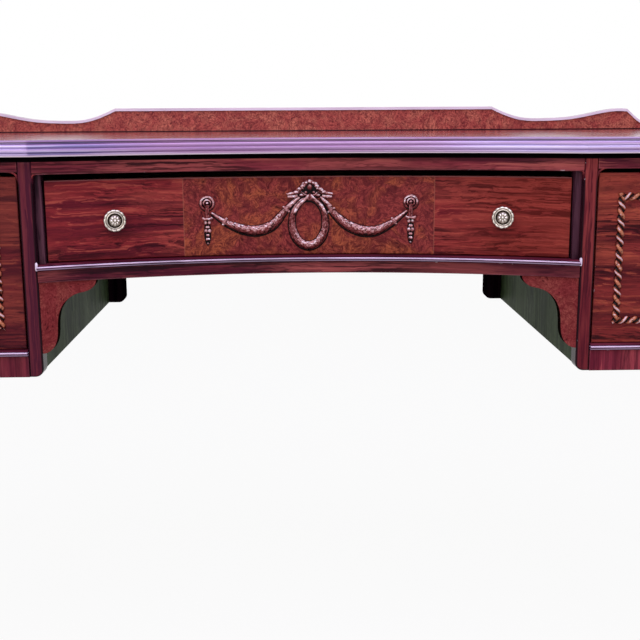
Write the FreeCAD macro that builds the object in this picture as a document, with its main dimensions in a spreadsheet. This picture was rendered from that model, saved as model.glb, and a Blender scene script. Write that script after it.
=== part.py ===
import FreeCAD
import Part
import Sketcher

import math
import os

# A kneehole writing desk in the late neoclassical manner, in rosewood and burl.
# Two pedestals of one deep drawer each hang between turned corner legs, and a
# wide drawer with a hollow, bowed-in front joins them over the kneehole.
#
# Frame, in millimetres: X to the sitter's right, Y to the back, Z up. The origin
# is on the floor, under the middle of the top.

DOC = FreeCAD.newDocument("desk")
SHEET = DOC.addObject("Spreadsheet::Sheet", "Sizes")
PIECES = {}
TOUCH = 1e-6
X_AXIS = FreeCAD.Vector(1, 0, 0)
Y_AXIS = FreeCAD.Vector(0, 1, 0)
Z_AXIS = FreeCAD.Vector(0, 0, 1)
FORWARD = FreeCAD.Vector(0, -1, 0)

SIZES = [
    ("desk_width", 1360, "over the moulded edge of the top"),
    ("desk_depth", 560, "over the moulded edge of the top"),
    ("desk_height", 768, "floor to writing surface"),
    ("top_thickness", 20, "top panel and its edge moulding"),
    ("top_overhang", 15, "moulded edge past the case, at the front and the ends"),
    ("moulding_depth", 18, "width of the moulding strip round the panel"),
    ("reed_bulge", 1.8, "how far each reed of the moulding swells"),
    ("neck_height", 5, "shadow line sunk into the case, under the moulding"),
    ("neck_depth", 6, "how far that line is sunk"),
    ("knee_width", 680, "between the inner front stiles"),
    ("bow_depth", 64, "how far the hollow front is drawn back in the middle"),
    ("knee_drop", 176, "writing surface down to the top of the kneehole"),
    ("pedestal_drop", 297, "writing surface down to the underside of the pedestals"),
    ("leg_radius", 22, "turned leg at its thickest"),
    ("post_size", 45, "square corner post over each leg"),
    ("post_ease", 2.5, "rounding down the corner posts"),
    ("flute_radius", 2.6, "round-bottomed flutes of the legs"),
    ("stile_width", 18, "inner front stile, across"),
    ("stile_depth", 22, "inner front stile, front to back"),
    ("stile_round", 11, "rounded foot of each inner stile"),
    ("stile_ease", 3, "rounding round the face of an inner front stile"),
    ("rear_stile_width", 38, "inner rear stile, across"),
    ("rear_stile_depth", 22.5, "inner rear stile, front to back"),
    ("rear_stile_step", 20, "rear stile further into the kneehole than the front one"),
    ("panel_setback", 8.7, "inner side panel behind the stile's knee face"),
    ("panel_thickness", 10, "side and back panels"),
    ("end_setback", 5, "end panels behind the faces of the corner posts"),
    ("rail_depth", 22, "front rails, front to back"),
    ("centre_top_rail_height", 22, "rail over the wide drawer"),
    ("centre_bottom_rail_height", 15.5, "rail under the wide drawer"),
    ("side_top_rail_height", 19, "rail over each deep drawer"),
    ("side_bottom_rail_height", 27.5, "rail under each deep drawer"),
    ("bead_stand", 4.5, "bull-nosed ledge past the rail under it"),
    ("centre_bead_height", 7, "ledge under the wide drawer"),
    ("side_bead_height", 7.5, "ledge under each deep drawer"),
    ("edge_ease", 1.2, "softened edges of rails and drawer fronts"),
    ("spandrel_width", 67, "bracket in the corner of the kneehole, across"),
    ("spandrel_height", 91, "bracket in the corner of the kneehole, down"),
    ("spandrel_thickness", 14, "bracket, front to back"),
    ("spandrel_setback", 3, "bracket behind the face of the rail over it"),
    ("jamb_width", 8, "filler beside the wide drawer, across"),
    ("jamb_setback", 10, "filler behind the face of the stile"),
    ("jamb_depth", 18, "filler, front to back"),
    ("centre_recess", 12, "wide drawer's face behind the rails"),
    ("side_recess", 6, "deep drawer's face behind the rails"),
    ("front_thickness", 20, "drawer fronts"),
    ("centre_end_gap", 2.5, "between the wide drawer's front and its jambs"),
    ("side_end_gap", 3, "between a deep drawer's front and its stile or post"),
    ("sill_gap", 0.8, "between a drawer's front and the ledge under it"),
    ("centre_head_gap", 8.5, "over the wide drawer's front"),
    ("side_head_gap", 5.5, "over a deep drawer's front"),
    ("slide_gap", 0.3, "between a drawer and its runners"),
    ("lining_thickness", 11, "drawer sides and backs"),
    ("bottom_thickness", 6, "drawer bottoms"),
    ("bottom_lift", 9, "drawer bottoms above the lower edges of the sides"),
    ("groove_depth", 5, "how far a bottom enters the drawer sides"),
    ("side_drop", 12, "drawer sides lower than the top of the front"),
    ("back_drop", 6, "drawer back lower than its sides"),
    ("back_clearance", 20, "behind a closed drawer"),
    ("runner_thickness", 14, "runners under the wide drawer"),
    ("runner_reach", 16, "how far a runner reaches under a drawer side"),
    ("guide_height", 18, "guides beside the drawer sides, above the runners"),
    ("guide_gap", 1, "between a guide and the drawer side"),
    ("pedestal_bottom_thickness", 12, "boards that close the pedestals below"),
    ("gallery_half_width", 625, "middle to end of the gallery"),
    ("gallery_height", 39.5, "gallery above the writing surface"),
    ("gallery_thickness", 16, "gallery board"),
    ("gallery_setback", 12, "gallery board in from the back edge"),
    ("cap_height", 4.5, "bead along the top of the gallery"),
    ("cap_stand", 2, "bead past the faces of the gallery board"),
    ("carving_relief", 6, "thickness of the carved laurel"),
    ("wreath_half_width", 28.4, "oval wreath, middle to edge"),
    ("wreath_half_height", 36, "oval wreath, middle to edge"),
    ("wreath_band", 9.5, "width of the wreath's band of leaves"),
    ("wreath_lift", 2, "opening in the wreath above the wreath's own middle"),
    ("wreath_drop", 11, "wreath's middle below the middle of the drawer front"),
    ("bow_rise", 57, "top of the ribbon bow above the wreath's middle"),
    ("bow_half_width", 30, "ribbon bow, middle to tip"),
    ("rosette_reach", 131, "middle to rosette"),
    ("rosette_rise", 28, "rosette above the wreath's middle"),
    ("rosette_radius", 9, "rosette at the end of each swag"),
    ("pendant_length", 54, "hanging husks, from the rosette's middle"),
    ("pendant_half_width", 4.5, "hanging husks"),
    ("swag_dip", 14, "lowest point of a swag below the wreath's middle"),
    ("swag_half_width", 5.5, "thickest part of a swag"),
    ("rope_margin", 24.5, "edge of a deep drawer's front to its rope frame"),
    ("rope_width", 10, "rope moulding of that frame"),
    ("rope_relief", 5.5, "rope moulding in front of the drawer"),
    ("knob_reach", 250, "middle of the wide drawer to each knob"),
    ("knob_radius", 14.3, "rosette knob"),
    ("knob_projection", 20, "rosette knob in front of the drawer"),
    ("knob_stud_radius", 2.5, "knob's threaded stud"),
    ("knob_stud_length", 15, "how far that stud enters the drawer front"),
    ("knob_stud_gap", 0.1, "between the stud and its hole"),
    ("overrun", 40, "how far a cutting shape passes what it cuts"),
]

for row, (alias, number, meaning) in enumerate(SIZES, start=1):
    SHEET.set(f"A{row}", str(number))
    SHEET.setAlias(f"A{row}", alias)
    SHEET.set(f"B{row}", meaning)
DOC.recompute()


def named(formula):
    """Gives a formula of plain size names the sheet's prefix, as expressions need."""
    words = formula.replace("(", " ( ").replace(")", " ) ").split()
    return " ".join(f"Sizes.{word}" if word[0].isalpha() else word for word in words)


def value(formula):
    """The number that a formula of size names comes to."""
    return float(SHEET.evalExpression(named(formula)))


def minus(formula):
    return f"0 - ( {formula} )"


def plus(*formulas):
    return " + ".join(f"( {formula} )" for formula in formulas)


def less(first, *others):
    return f"( {first} )" + "".join(f" - ( {other} )" for other in others)


def span(side, near, far):
    """From near to far on the right side, and the mirrored stretch on the left."""
    return (near, far) if side == "right" else (minus(far), minus(near))


# The main planes of the case, each a formula of sizes.
CASE_TOP = less("desk_height", "top_thickness")
NECK_LOW = less(CASE_TOP, "neck_height")
CASE_HALF = less("desk_width / 2", "top_overhang")
TOP_FRONT = minus("desk_depth / 2")
CASE_FRONT = plus(TOP_FRONT, "top_overhang")
CASE_BACK = "desk_depth / 2"
KNEE_HALF = "knee_width / 2"
STILE_OUTER = plus(KNEE_HALF, "stile_width")
POST_INNER = less(CASE_HALF, "post_size")
INNER_PANEL_FACE = plus(KNEE_HALF, "panel_setback")
REAR_STILE_INNER = less(KNEE_HALF, "rear_stile_step")
REAR_FACE = less(CASE_BACK, "rear_stile_depth")
BOW_RADIUS = "( knee_width * knee_width / 4 + bow_depth * bow_depth ) / ( 2 * bow_depth )"
BOW_CENTRE = less(plus(CASE_FRONT, "bow_depth"), BOW_RADIUS)
TOP_BOW_CENTRE = less(BOW_CENTRE, "top_overhang")

# Heights of the openings.
KNEE_TOP = less("desk_height", "knee_drop")
PEDESTAL_LOW = less("desk_height", "pedestal_drop")
CENTRE_RAIL_TOP = plus(KNEE_TOP, "centre_bottom_rail_height")
CENTRE_SILL = plus(CENTRE_RAIL_TOP, "centre_bead_height")
CENTRE_HEAD = less(CASE_TOP, "centre_top_rail_height")
SIDE_RAIL_TOP = plus(PEDESTAL_LOW, "side_bottom_rail_height")
SIDE_SILL = plus(SIDE_RAIL_TOP, "side_bead_height")
SIDE_HEAD = less(CASE_TOP, "side_top_rail_height")
CENTRE_FRONT_LOW = plus(CENTRE_SILL, "sill_gap")
CENTRE_FRONT_HIGH = less(CENTRE_HEAD, "centre_head_gap")
SIDE_FRONT_LOW = plus(SIDE_SILL, "sill_gap")
SIDE_FRONT_HIGH = less(SIDE_HEAD, "side_head_gap")
CENTRE_FRONT_HALF = less(KNEE_HALF, "jamb_width", "centre_end_gap")
CENTRE_FACE_RADIUS = plus(BOW_RADIUS, "centre_recess")
DRAWER_BACK = less(REAR_FACE, "back_clearance")


def keep(piece, label):
    """Lists a finished piece under the name that its file takes."""
    piece.Label = label
    PIECES[label] = piece
    return piece


def edges_at(shape, axis, place):
    """Names of the edges that lie wholly in the plane where one axis has a value."""
    found = []
    for index, edge in enumerate(shape.Edges, start=1):
        reach = [getattr(vertex.Point, axis) for vertex in edge.Vertexes]
        if all(math.isclose(one, place, abs_tol=TOUCH) for one in reach):
            found.append(f"Edge{index}")
    return found


def block(body, name, x, y, z, kind="PartDesign::AdditiveBox"):
    """A box feature of a body between two formulas on each axis."""
    feature = body.newObject(kind, name)
    feature.setExpression("Length", named(less(x[1], x[0])))
    feature.setExpression("Width", named(less(y[1], y[0])))
    feature.setExpression("Height", named(less(z[1], z[0])))
    feature.setExpression("Placement.Base.x", named(x[0]))
    feature.setExpression("Placement.Base.y", named(y[0]))
    feature.setExpression("Placement.Base.z", named(z[0]))
    DOC.recompute()
    return feature


def rounded(body, feature, edges, radius):
    """Rounds some edges of a body's last feature."""
    fillet = body.newObject("PartDesign::Fillet", f"{body.Name}_{radius}")
    fillet.Base = (feature, edges)
    fillet.setExpression("Radius", named(radius))
    DOC.recompute()
    return fillet


def neck(body, x):
    """Sinks the shadow line under the top's moulding into a straight board of the front."""
    across = (less(x[0], "overrun"), plus(x[1], "overrun"))
    deep = (less(CASE_FRONT, "overrun"), plus(CASE_FRONT, "neck_depth"))
    high = (NECK_LOW, plus(CASE_TOP, "overrun"))
    return block(body, f"{body.Name}_neck", across, deep, high, "PartDesign::SubtractiveBox")


def board(label, x, y, z):
    """A plain flat board."""
    piece = DOC.addObject("Part::Box", label)
    piece.setExpression("Length", named(less(x[1], x[0])))
    piece.setExpression("Width", named(less(y[1], y[0])))
    piece.setExpression("Height", named(less(z[1], z[0])))
    piece.setExpression("Placement.Base.x", named(x[0]))
    piece.setExpression("Placement.Base.y", named(y[0]))
    piece.setExpression("Placement.Base.z", named(z[0]))
    return piece


def eased_board(label, x, y, z):
    """A board whose front face has softened edges, with the neck cut where it reaches the top."""
    body = DOC.addObject("PartDesign::Body", label)
    plain = block(body, f"{label}_block", x, y, z)
    if z[1] == CASE_TOP:
        plain = neck(body, x)
    rounded(body, plain, edges_at(plain.Shape, "y", value(y[0])), "edge_ease")
    return keep(body, label)


def cylinder(label, radius, centre_y, z):
    """An upright cylinder about a point of the desk's middle plane."""
    piece = DOC.addObject("Part::Cylinder", label)
    piece.setExpression("Radius", named(radius))
    piece.setExpression("Height", named(less(z[1], z[0])))
    piece.setExpression("Placement.Base.y", named(centre_y))
    piece.setExpression("Placement.Base.z", named(z[0]))
    return piece


def cut(label, base, tool):
    piece = DOC.addObject("Part::Cut", label)
    piece.Base = base
    piece.Tool = tool
    return piece


def fused(label, parts):
    piece = DOC.addObject("Part::MultiFuse", label)
    piece.Shapes = parts
    piece.Refine = True
    return piece


def grouped(label, parts):
    """Separate solids that share one node, such as a pair of runners."""
    piece = DOC.addObject("Part::Compound", label)
    piece.Links = parts
    return keep(piece, label)


def bowed_board(label, setback, thickness, half_width, z):
    """A board sawn to the hollow curve of the front, its face the given depth behind it."""
    inner = value(plus(BOW_RADIUS, setback))
    outer = value(plus(BOW_RADIUS, setback, thickness))
    half = value(half_width)
    centre_y = value(BOW_CENTRE)
    body = DOC.addObject("PartDesign::Body", label)
    sketch = body.newObject("Sketcher::SketchObject", f"{label}_plan")
    plane = next(item for item in body.Origin.OriginFeatures if item.Role == "XY_Plane")
    sketch.AttachmentSupport = [(plane, "")]
    sketch.MapMode = "FlatFace"
    sketch.setExpression("AttachmentOffset.Base.z", named(z[0]))
    corner = {}
    for name, radius in (("front", inner), ("back", outer)):
        rise = math.sqrt(radius * radius - half * half)
        corner[name] = FreeCAD.Vector(half, centre_y + rise, 0)
    centre = FreeCAD.Vector(0, centre_y, 0)
    for name, radius in (("front", inner), ("back", outer)):
        turn = math.acos(half / radius)
        circle = Part.Circle(centre, Z_AXIS, radius)
        sketch.addGeometry(Part.ArcOfCircle(circle, turn, math.pi - turn), False)
    for side in (1, -1):
        start = FreeCAD.Vector(side * half, corner["front"].y, 0)
        end = FreeCAD.Vector(side * half, corner["back"].y, 0)
        sketch.addGeometry(Part.LineSegment(start, end), False)
    front, back, right, left = range(4)
    first, last, middle = 1, 2, 3
    origin, upright = -1, -2
    sketch.addConstraint(Sketcher.Constraint("Coincident", front, middle, back, middle))
    sketch.addConstraint(Sketcher.Constraint("PointOnObject", front, middle, upright))
    sketch.addConstraint(Sketcher.Constraint("Coincident", right, first, front, first))
    sketch.addConstraint(Sketcher.Constraint("Coincident", right, last, back, first))
    sketch.addConstraint(Sketcher.Constraint("Coincident", left, first, front, last))
    sketch.addConstraint(Sketcher.Constraint("Coincident", left, last, back, last))
    sketch.addConstraint(Sketcher.Constraint("Vertical", right))
    sketch.addConstraint(Sketcher.Constraint("Vertical", left))
    sizes = [
        (("Radius", front, inner), plus(BOW_RADIUS, setback)),
        (("Radius", back, outer), plus(BOW_RADIUS, setback, thickness)),
        (("DistanceY", front, middle, origin, first, -centre_y), minus(BOW_CENTRE)),
        (("DistanceX", origin, first, right, first, half), half_width),
        (("DistanceX", left, first, origin, first, half), half_width),
    ]
    for constraint, formula in sizes:
        index = sketch.addConstraint(Sketcher.Constraint(*constraint))
        sketch.setExpression(f"Constraints[{index}]", named(formula))
    pad = body.newObject("PartDesign::Pad", f"{label}_pad")
    pad.Profile = sketch
    pad.setExpression("Length", named(less(z[1], z[0])))
    DOC.recompute()
    if z[1] == CASE_TOP:
        pad = body.newObject("PartDesign::SubtractiveCylinder", f"{label}_neck")
        pad.setExpression("Radius", named(plus(BOW_RADIUS, "neck_depth")))
        pad.setExpression("Height", named(plus("neck_height", "overrun")))
        pad.setExpression("Placement.Base.y", named(BOW_CENTRE))
        pad.setExpression("Placement.Base.z", named(NECK_LOW))
        DOC.recompute()
    edges = []
    for index, edge in enumerate(pad.Shape.Edges, start=1):
        if getattr(edge.Curve, "Radius", 0) == inner:
            edges.append(f"Edge{index}")
    softened = body.newObject("PartDesign::Chamfer", f"{label}_softened")
    softened.Base = (pad, edges)
    softened.setExpression("Size", named("edge_ease"))
    DOC.recompute()
    return keep(body, label)


def feature(label, shape):
    """A piece whose shape is worked out from outlines, below."""
    piece = DOC.addObject("Part::Feature", label)
    piece.Shape = shape
    return keep(piece, label)


def outline(*parts):
    """A flat face inside a chain of edges."""
    edges = []
    for part in parts:
        edges.append(part.toShape() if hasattr(part, "toShape") else part)
    return Part.Face(Part.Wire(Part.__sortEdges__(edges)))


def line(start, end):
    return Part.LineSegment(start, end)


def smooth(points):
    """A smooth curve through a few points."""
    curve = Part.BSplineCurve()
    curve.interpolate(points)
    return curve


def facing(direction):
    """Turns the Z axis of a shape to a direction."""
    return FreeCAD.Rotation(Z_AXIS, direction)


def beyond(point, direction):
    """Everything past a plane through a point, on the side that the direction names."""
    reach = value("desk_width")
    solid = Part.makeBox(reach, reach, reach)
    turned = facing(direction)
    middle = turned.multVec(FreeCAD.Vector(reach / 2, reach / 2, 0))
    solid.Placement = FreeCAD.Placement(point - middle, turned)
    return solid


def mirrored(shape):
    """The left-hand copy of a right-hand shape."""
    return shape.mirror(FreeCAD.Vector(), X_AXIS)


def bowed_shell(setback, thickness):
    """The curved slab between two depths behind the hollow front."""
    low = FreeCAD.Vector(0, value(BOW_CENTRE), 0)
    height = value("desk_height")
    outer = Part.makeCylinder(value(plus(BOW_RADIUS, setback, thickness)), height, low)
    return outer.cut(Part.makeCylinder(value(plus(BOW_RADIUS, setback)), height, low))


# The top: a panel with a reeded moulding mitred round three of its edges.

REED_LIP_SHARES = (0.84, 1.0, 1.0, 0.9)
TOP_EDGE_FRONT = plus(TOP_FRONT, "moulding_depth")
TOP_EDGE_HALF = less("desk_width / 2", "moulding_depth")
TOP_EDGE_RADIUS = plus(BOW_RADIUS, "moulding_depth")


def reeded_profile():
    """Section of the edge moulding: X is outwards from the panel, Y is up."""
    low = value(CASE_TOP)
    step = value("top_thickness") / len(REED_LIP_SHARES)
    bulge = value("reed_bulge")
    reach = value("moulding_depth") - bulge
    points = [FreeCAD.Vector(0, low, 0)]
    edges = []
    for index, share in enumerate(REED_LIP_SHARES):
        foot = FreeCAD.Vector(reach * share, low + step * index, 0)
        crest = FreeCAD.Vector(reach * share + bulge, low + step * (index + 1 / 2), 0)
        head = FreeCAD.Vector(reach * share, low + step * (index + 1), 0)
        if points[-1] != foot:
            edges.append(line(points[-1], foot))
        edges.append(Part.Arc(foot, crest, head))
        points.append(head)
    top = FreeCAD.Vector(0, value("desk_height"), 0)
    edges.append(line(points[-1], top))
    edges.append(line(top, points[0]))
    return outline(*edges)


# Nose of a ledge: out as a share of half the ledge's height, up as a share of all of it.

LEDGE_NOSE_SHARES = ((0.0, 0.0), (0.6, 0.1), (0.95, 0.34), (0.95, 0.66), (0.6, 0.9), (0.0, 1.0))


def ledge_profile(depth, stand, low, height):
    """Section of a bull-nosed ledge: its nose stands out past X of zero."""
    nose = height / 2
    points = [FreeCAD.Vector(stand - depth, low, 0)]
    for out, up in LEDGE_NOSE_SHARES:
        points.append(FreeCAD.Vector(stand - nose + nose * out, low + height * up, 0))
    points.append(FreeCAD.Vector(stand - depth, low + height, 0))
    return Part.Face(Part.makePolygon(points + points[:1]))


def straight_run(profile, start, end, outward):
    """A profile carried from one point to another."""
    along = end - start
    turned = FreeCAD.Rotation(outward, Z_AXIS, along, "XYZ")
    face = profile.copy()
    face.Placement = FreeCAD.Placement(start, turned)
    return face.extrude(along)


def bowed_run(profile, radius, centre_y, half_turn):
    """A profile carried round the hollow front, whose centre is in front of the desk."""
    face = profile.copy()
    face.Placement = FreeCAD.Placement(
        FreeCAD.Vector(0, centre_y + radius, 0),
        FreeCAD.Rotation(FORWARD, Z_AXIS, X_AXIS, "XYZ"),
    )
    centre = FreeCAD.Vector(0, centre_y, 0)
    face.rotate(centre, Z_AXIS, -half_turn)
    return face.revolve(centre, Z_AXIS, 2 * half_turn)


def make_top():
    panel = board(
        "top_blank",
        (minus(TOP_EDGE_HALF), TOP_EDGE_HALF),
        (TOP_EDGE_FRONT, CASE_BACK),
        (CASE_TOP, "desk_height"),
    )
    hollow = cylinder(
        "top_hollow", TOP_EDGE_RADIUS, TOP_BOW_CENTRE,
        (less(CASE_TOP, "overrun"), plus("desk_height", "overrun")),
    )
    keep(cut("top_panel", panel, hollow), "top_panel")

    front = value(TOP_FRONT)
    edge_front = value(TOP_EDGE_FRONT)
    edge_half = value(TOP_EDGE_HALF)
    half = value("desk_width / 2")
    back = value(CASE_BACK)
    knee = value(KNEE_HALF)
    radius = value(TOP_EDGE_RADIUS)
    centre_y = value(TOP_BOW_CENTRE)
    run_on = value("overrun")
    inner_x = math.sqrt(radius ** 2 - (edge_front - centre_y) ** 2)
    low = value(CASE_TOP)
    lip = FreeCAD.Vector(knee, front, low)
    seam = FreeCAD.Vector(inner_x, edge_front, low) - lip
    across = seam.cross(Z_AXIS)
    bow_cut = beyond(lip, across)
    straight_cut = beyond(lip, -1 * across)
    corner = FreeCAD.Vector(half, front, low)
    profile = reeded_profile()

    turn = math.degrees(math.asin(knee / radius)) + math.degrees(run_on / radius)
    hollow_run = bowed_run(profile, radius, centre_y, turn)
    feature("front_moulding_centre", hollow_run.cut(bow_cut).cut(mirrored(bow_cut)))

    start = FreeCAD.Vector(inner_x - run_on, edge_front, 0)
    end = FreeCAD.Vector(edge_half + run_on, edge_front, 0)
    front_run = straight_run(profile, start, end, FORWARD)
    front_run = front_run.cut(straight_cut).cut(beyond(corner, X_AXIS + Y_AXIS))
    start = FreeCAD.Vector(edge_half, edge_front - run_on, 0)
    end = FreeCAD.Vector(edge_half, back, 0)
    end_run = straight_run(profile, start, end, X_AXIS)
    end_run = end_run.cut(beyond(corner, -1 * X_AXIS - Y_AXIS))
    for side in ("right", "left"):
        own = (lambda shape: shape) if side == "right" else mirrored
        feature(f"front_moulding_{side}", own(front_run))
        feature(f"end_moulding_{side}", own(end_run))


# The gallery: a scalloped board along the back of the top, with a bead on its edge.
# Its outline, from the middle to the end: along as a share of the half width, up as
# a share of the height above the writing surface.

GALLERY_CREST_SHARES = (0.515, 1.0)
GALLERY_DIP_SHARES = (
    (0.550, 0.75), (0.594, 0.54), (0.662, 0.49),
    (0.746, 0.58), (0.814, 0.79), (0.862, 0.892),
)
GALLERY_LOBE_SHARES = (0.891, 0.87)
GALLERY_FALL_SHARES = ((0.908, 0.63), (0.926, 0.41), (0.958, 0.25))
GALLERY_END_SHARES = (1.0, 0.21)


def gallery_edge(y, drop):
    """The scalloped line, from the left end to the right end."""
    half = value("gallery_half_width")
    height = value("gallery_height")
    low = value("desk_height") - drop

    def place(shares):
        return FreeCAD.Vector(half * shares[0], y, low + height * shares[1])

    crest = place(GALLERY_CREST_SHARES)
    lobe = place(GALLERY_LOBE_SHARES)
    end = place(GALLERY_END_SHARES)
    dip = smooth([crest] + [place(one) for one in GALLERY_DIP_SHARES] + [lobe]).toShape()
    fall = smooth([lobe] + [place(one) for one in GALLERY_FALL_SHARES] + [end]).toShape()
    level = line(FreeCAD.Vector(-crest.x, crest.y, crest.z), crest).toShape()
    return [mirrored(fall), mirrored(dip), level, dip, fall], end


def make_gallery():
    front = value(less(CASE_BACK, "gallery_setback", "gallery_thickness"))
    deep = value("gallery_thickness")
    base = value("desk_height")
    stand = value("cap_stand")
    cap = value("cap_height")
    edges, end = gallery_edge(front, cap)
    foot = FreeCAD.Vector(end.x, front, base)
    other_end = FreeCAD.Vector(-end.x, front, end.z)
    other_foot = FreeCAD.Vector(-end.x, front, base)
    sides = [line(end, foot), line(foot, other_foot), line(other_foot, other_end)]
    feature("gallery_board", outline(*edges, *sides).extrude(Y_AXIS * deep))

    lower, low_end = gallery_edge(front - stand, cap)
    upper, high_end = gallery_edge(front - stand, 0)
    right = line(low_end, high_end)
    left = mirrored(right.toShape())
    section = outline(*lower, *upper, right, left)
    feature("gallery_cap", section.extrude(Y_AXIS * (deep + 2 * stand)))


# The four corner posts, each one piece with its turned, tapered and fluted leg.
# Outline of the turning: radius as a share of the leg's radius, height as a share
# of the leg's height. A middle point makes an arc of three points.

LEG_TURNING_SHARES = (
    ((0.40, 0.0), None),
    ((0.62, 0.045), (0.56, 0.012)),
    ((0.42, 0.115), (0.66, 0.085)),
    ((0.42, 0.125), None),
    ((0.55, 0.140), (0.52, 0.128)),
    ((0.50, 0.155), (0.55, 0.150)),
    ((0.50, 0.165), None),
    ((0.88, 0.865), None),
    ((0.88, 0.885), (0.97, 0.875)),
    ((0.74, 0.895), None),
    ((0.74, 0.925), (0.68, 0.910)),
    ((0.96, 0.945), (0.90, 0.930)),
    ((0.96, 0.970), (1.0, 0.958)),
    ((0.84, 0.978), None),
    ((0.84, 1.0), None),
)
FLUTE_COUNT = 12
FLUTE_LOW_SHARE = 0.20
FLUTE_HIGH_SHARE = 0.835
TAPER_LOW_SHARES = (0.50, 0.165)
TAPER_HIGH_SHARES = (0.88, 0.865)
FLUTE_NARROWING_SHARE = 0.6


def turned_solid(shares, radius, height, start):
    """A turning about the Z axis, with its outline given as shares of two sizes."""
    place = [start]
    edges = []
    for (out, up), middle in shares:
        point = FreeCAD.Vector(radius * out, 0, height * up)
        if middle:
            through = FreeCAD.Vector(radius * middle[0], 0, height * middle[1])
            edges.append(Part.Arc(place[-1], through, point))
        else:
            edges.append(line(place[-1], point))
        place.append(point)
    top = FreeCAD.Vector(0, 0, place[-1].z)
    edges += [line(place[-1], top), line(top, start)]
    return outline(*edges).revolve(FreeCAD.Vector(), Z_AXIS, math.degrees(math.tau))


def flute_cutter(radius, height):
    """One tapered round flute with round ends, lying along the leg's taper."""
    slope = (TAPER_HIGH_SHARES[0] - TAPER_LOW_SHARES[0]) * radius
    rise = (TAPER_HIGH_SHARES[1] - TAPER_LOW_SHARES[1]) * height
    ends = []
    for up in (FLUTE_LOW_SHARE, FLUTE_HIGH_SHARE):
        z = height * up
        out = TAPER_LOW_SHARES[0] * radius + slope * (z - TAPER_LOW_SHARES[1] * height) / rise
        ends.append(FreeCAD.Vector(out, 0, z))
    wide = value("flute_radius")
    narrow = wide * FLUTE_NARROWING_SHARE
    along = ends[1] - ends[0]
    channel = Part.makeCone(narrow, wide, along.Length, ends[0], along)
    caps = [Part.makeSphere(narrow, ends[0]), Part.makeSphere(wide, ends[1])]
    return channel.fuse(caps)


def make_legs():
    radius = value("leg_radius")
    height = value(PEDESTAL_LOW)
    turning = turned_solid(LEG_TURNING_SHARES, radius, height, FreeCAD.Vector())
    cutter = flute_cutter(radius, height)
    cutters = []
    for index in range(FLUTE_COUNT):
        one = cutter.copy()
        one.rotate(FreeCAD.Vector(), Z_AXIS, math.degrees(math.tau) * index / FLUTE_COUNT)
        cutters.append(one)
    fluted = turning.cut(cutters)
    size = value("post_size")
    corner = FreeCAD.Vector(-size / 2, -size / 2, height)
    post = Part.makeBox(size, size, value(CASE_TOP) - height, corner)
    uprights = [edge for edge in post.Edges if edge.BoundBox.ZLength > size]
    post = post.makeFillet(value("post_ease"), uprights)
    leg = fluted.fuse(post)
    past = value("overrun")
    low = value(NECK_LOW)
    sunk = size / 2 - value("neck_depth")
    reach = size + 2 * past
    outer_neck = Part.makeBox(past, reach, past, FreeCAD.Vector(sunk, -reach / 2, low))
    front_neck = Part.makeBox(reach, past, past, FreeCAD.Vector(-reach / 2, -sunk - past, low))
    shapes = {"front": leg.cut([outer_neck, front_neck]), "back": leg.cut(outer_neck)}
    across = value(less(CASE_HALF, "post_size / 2"))
    deep = {
        "front": value(plus(CASE_FRONT, "post_size / 2")),
        "back": value(less(CASE_BACK, "post_size / 2")),
    }
    for end, y in deep.items():
        for side, x in (("left", -across), ("right", across)):
            shape = shapes[end] if side == "right" else mirrored(shapes[end])
            piece = feature(f"{end}_{side}_leg", shape)
            piece.Placement = FreeCAD.Placement(FreeCAD.Vector(x, y, 0), FreeCAD.Rotation())


# The case: stiles, rails and ledges of the front, panels, back and bottoms.


def make_stiles():
    """Inner stiles, each with the corner of its foot towards the kneehole rounded."""
    places = {
        "front": (KNEE_HALF, STILE_OUTER, CASE_FRONT, plus(CASE_FRONT, "stile_depth")),
        "rear": (REAR_STILE_INNER, plus(REAR_STILE_INNER, "rear_stile_width"), REAR_FACE, CASE_BACK),
    }
    for end, (near, far, front, back) in places.items():
        for side in ("left", "right"):
            label = f"{end}_{side}_stile"
            across = span(side, near, far)
            body = DOC.addObject("PartDesign::Body", label)
            plain = block(body, f"{label}_block", across, (front, back), (PEDESTAL_LOW, CASE_TOP))
            if end == "front":
                plain = neck(body, across)
            knee_face = value(across[0 if side == "right" else 1])
            low_edges = edges_at(plain.Shape, "z", value(PEDESTAL_LOW))
            foot = [edge for edge in edges_at(plain.Shape, "x", knee_face) if edge in low_edges]
            rounded_foot = rounded(body, plain, foot, "stile_round")
            face = edges_at(rounded_foot.Shape, "y", value(front))
            rounded(body, rounded_foot, face, "stile_ease" if end == "front" else "edge_ease")
            keep(body, label)


def make_front_rails():
    bowed_board("top_rail_centre", "0", "rail_depth", KNEE_HALF, (CENTRE_HEAD, CASE_TOP))
    bowed_board("bottom_rail_centre", "0", "rail_depth", KNEE_HALF, (KNEE_TOP, CENTRE_RAIL_TOP))
    depth = (CASE_FRONT, plus(CASE_FRONT, "rail_depth"))
    for side in ("left", "right"):
        across = span(side, STILE_OUTER, POST_INNER)
        eased_board(f"top_rail_{side}", across, depth, (SIDE_HEAD, CASE_TOP))
        eased_board(f"bottom_rail_{side}", across, depth, (PEDESTAL_LOW, SIDE_RAIL_TOP))


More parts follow.
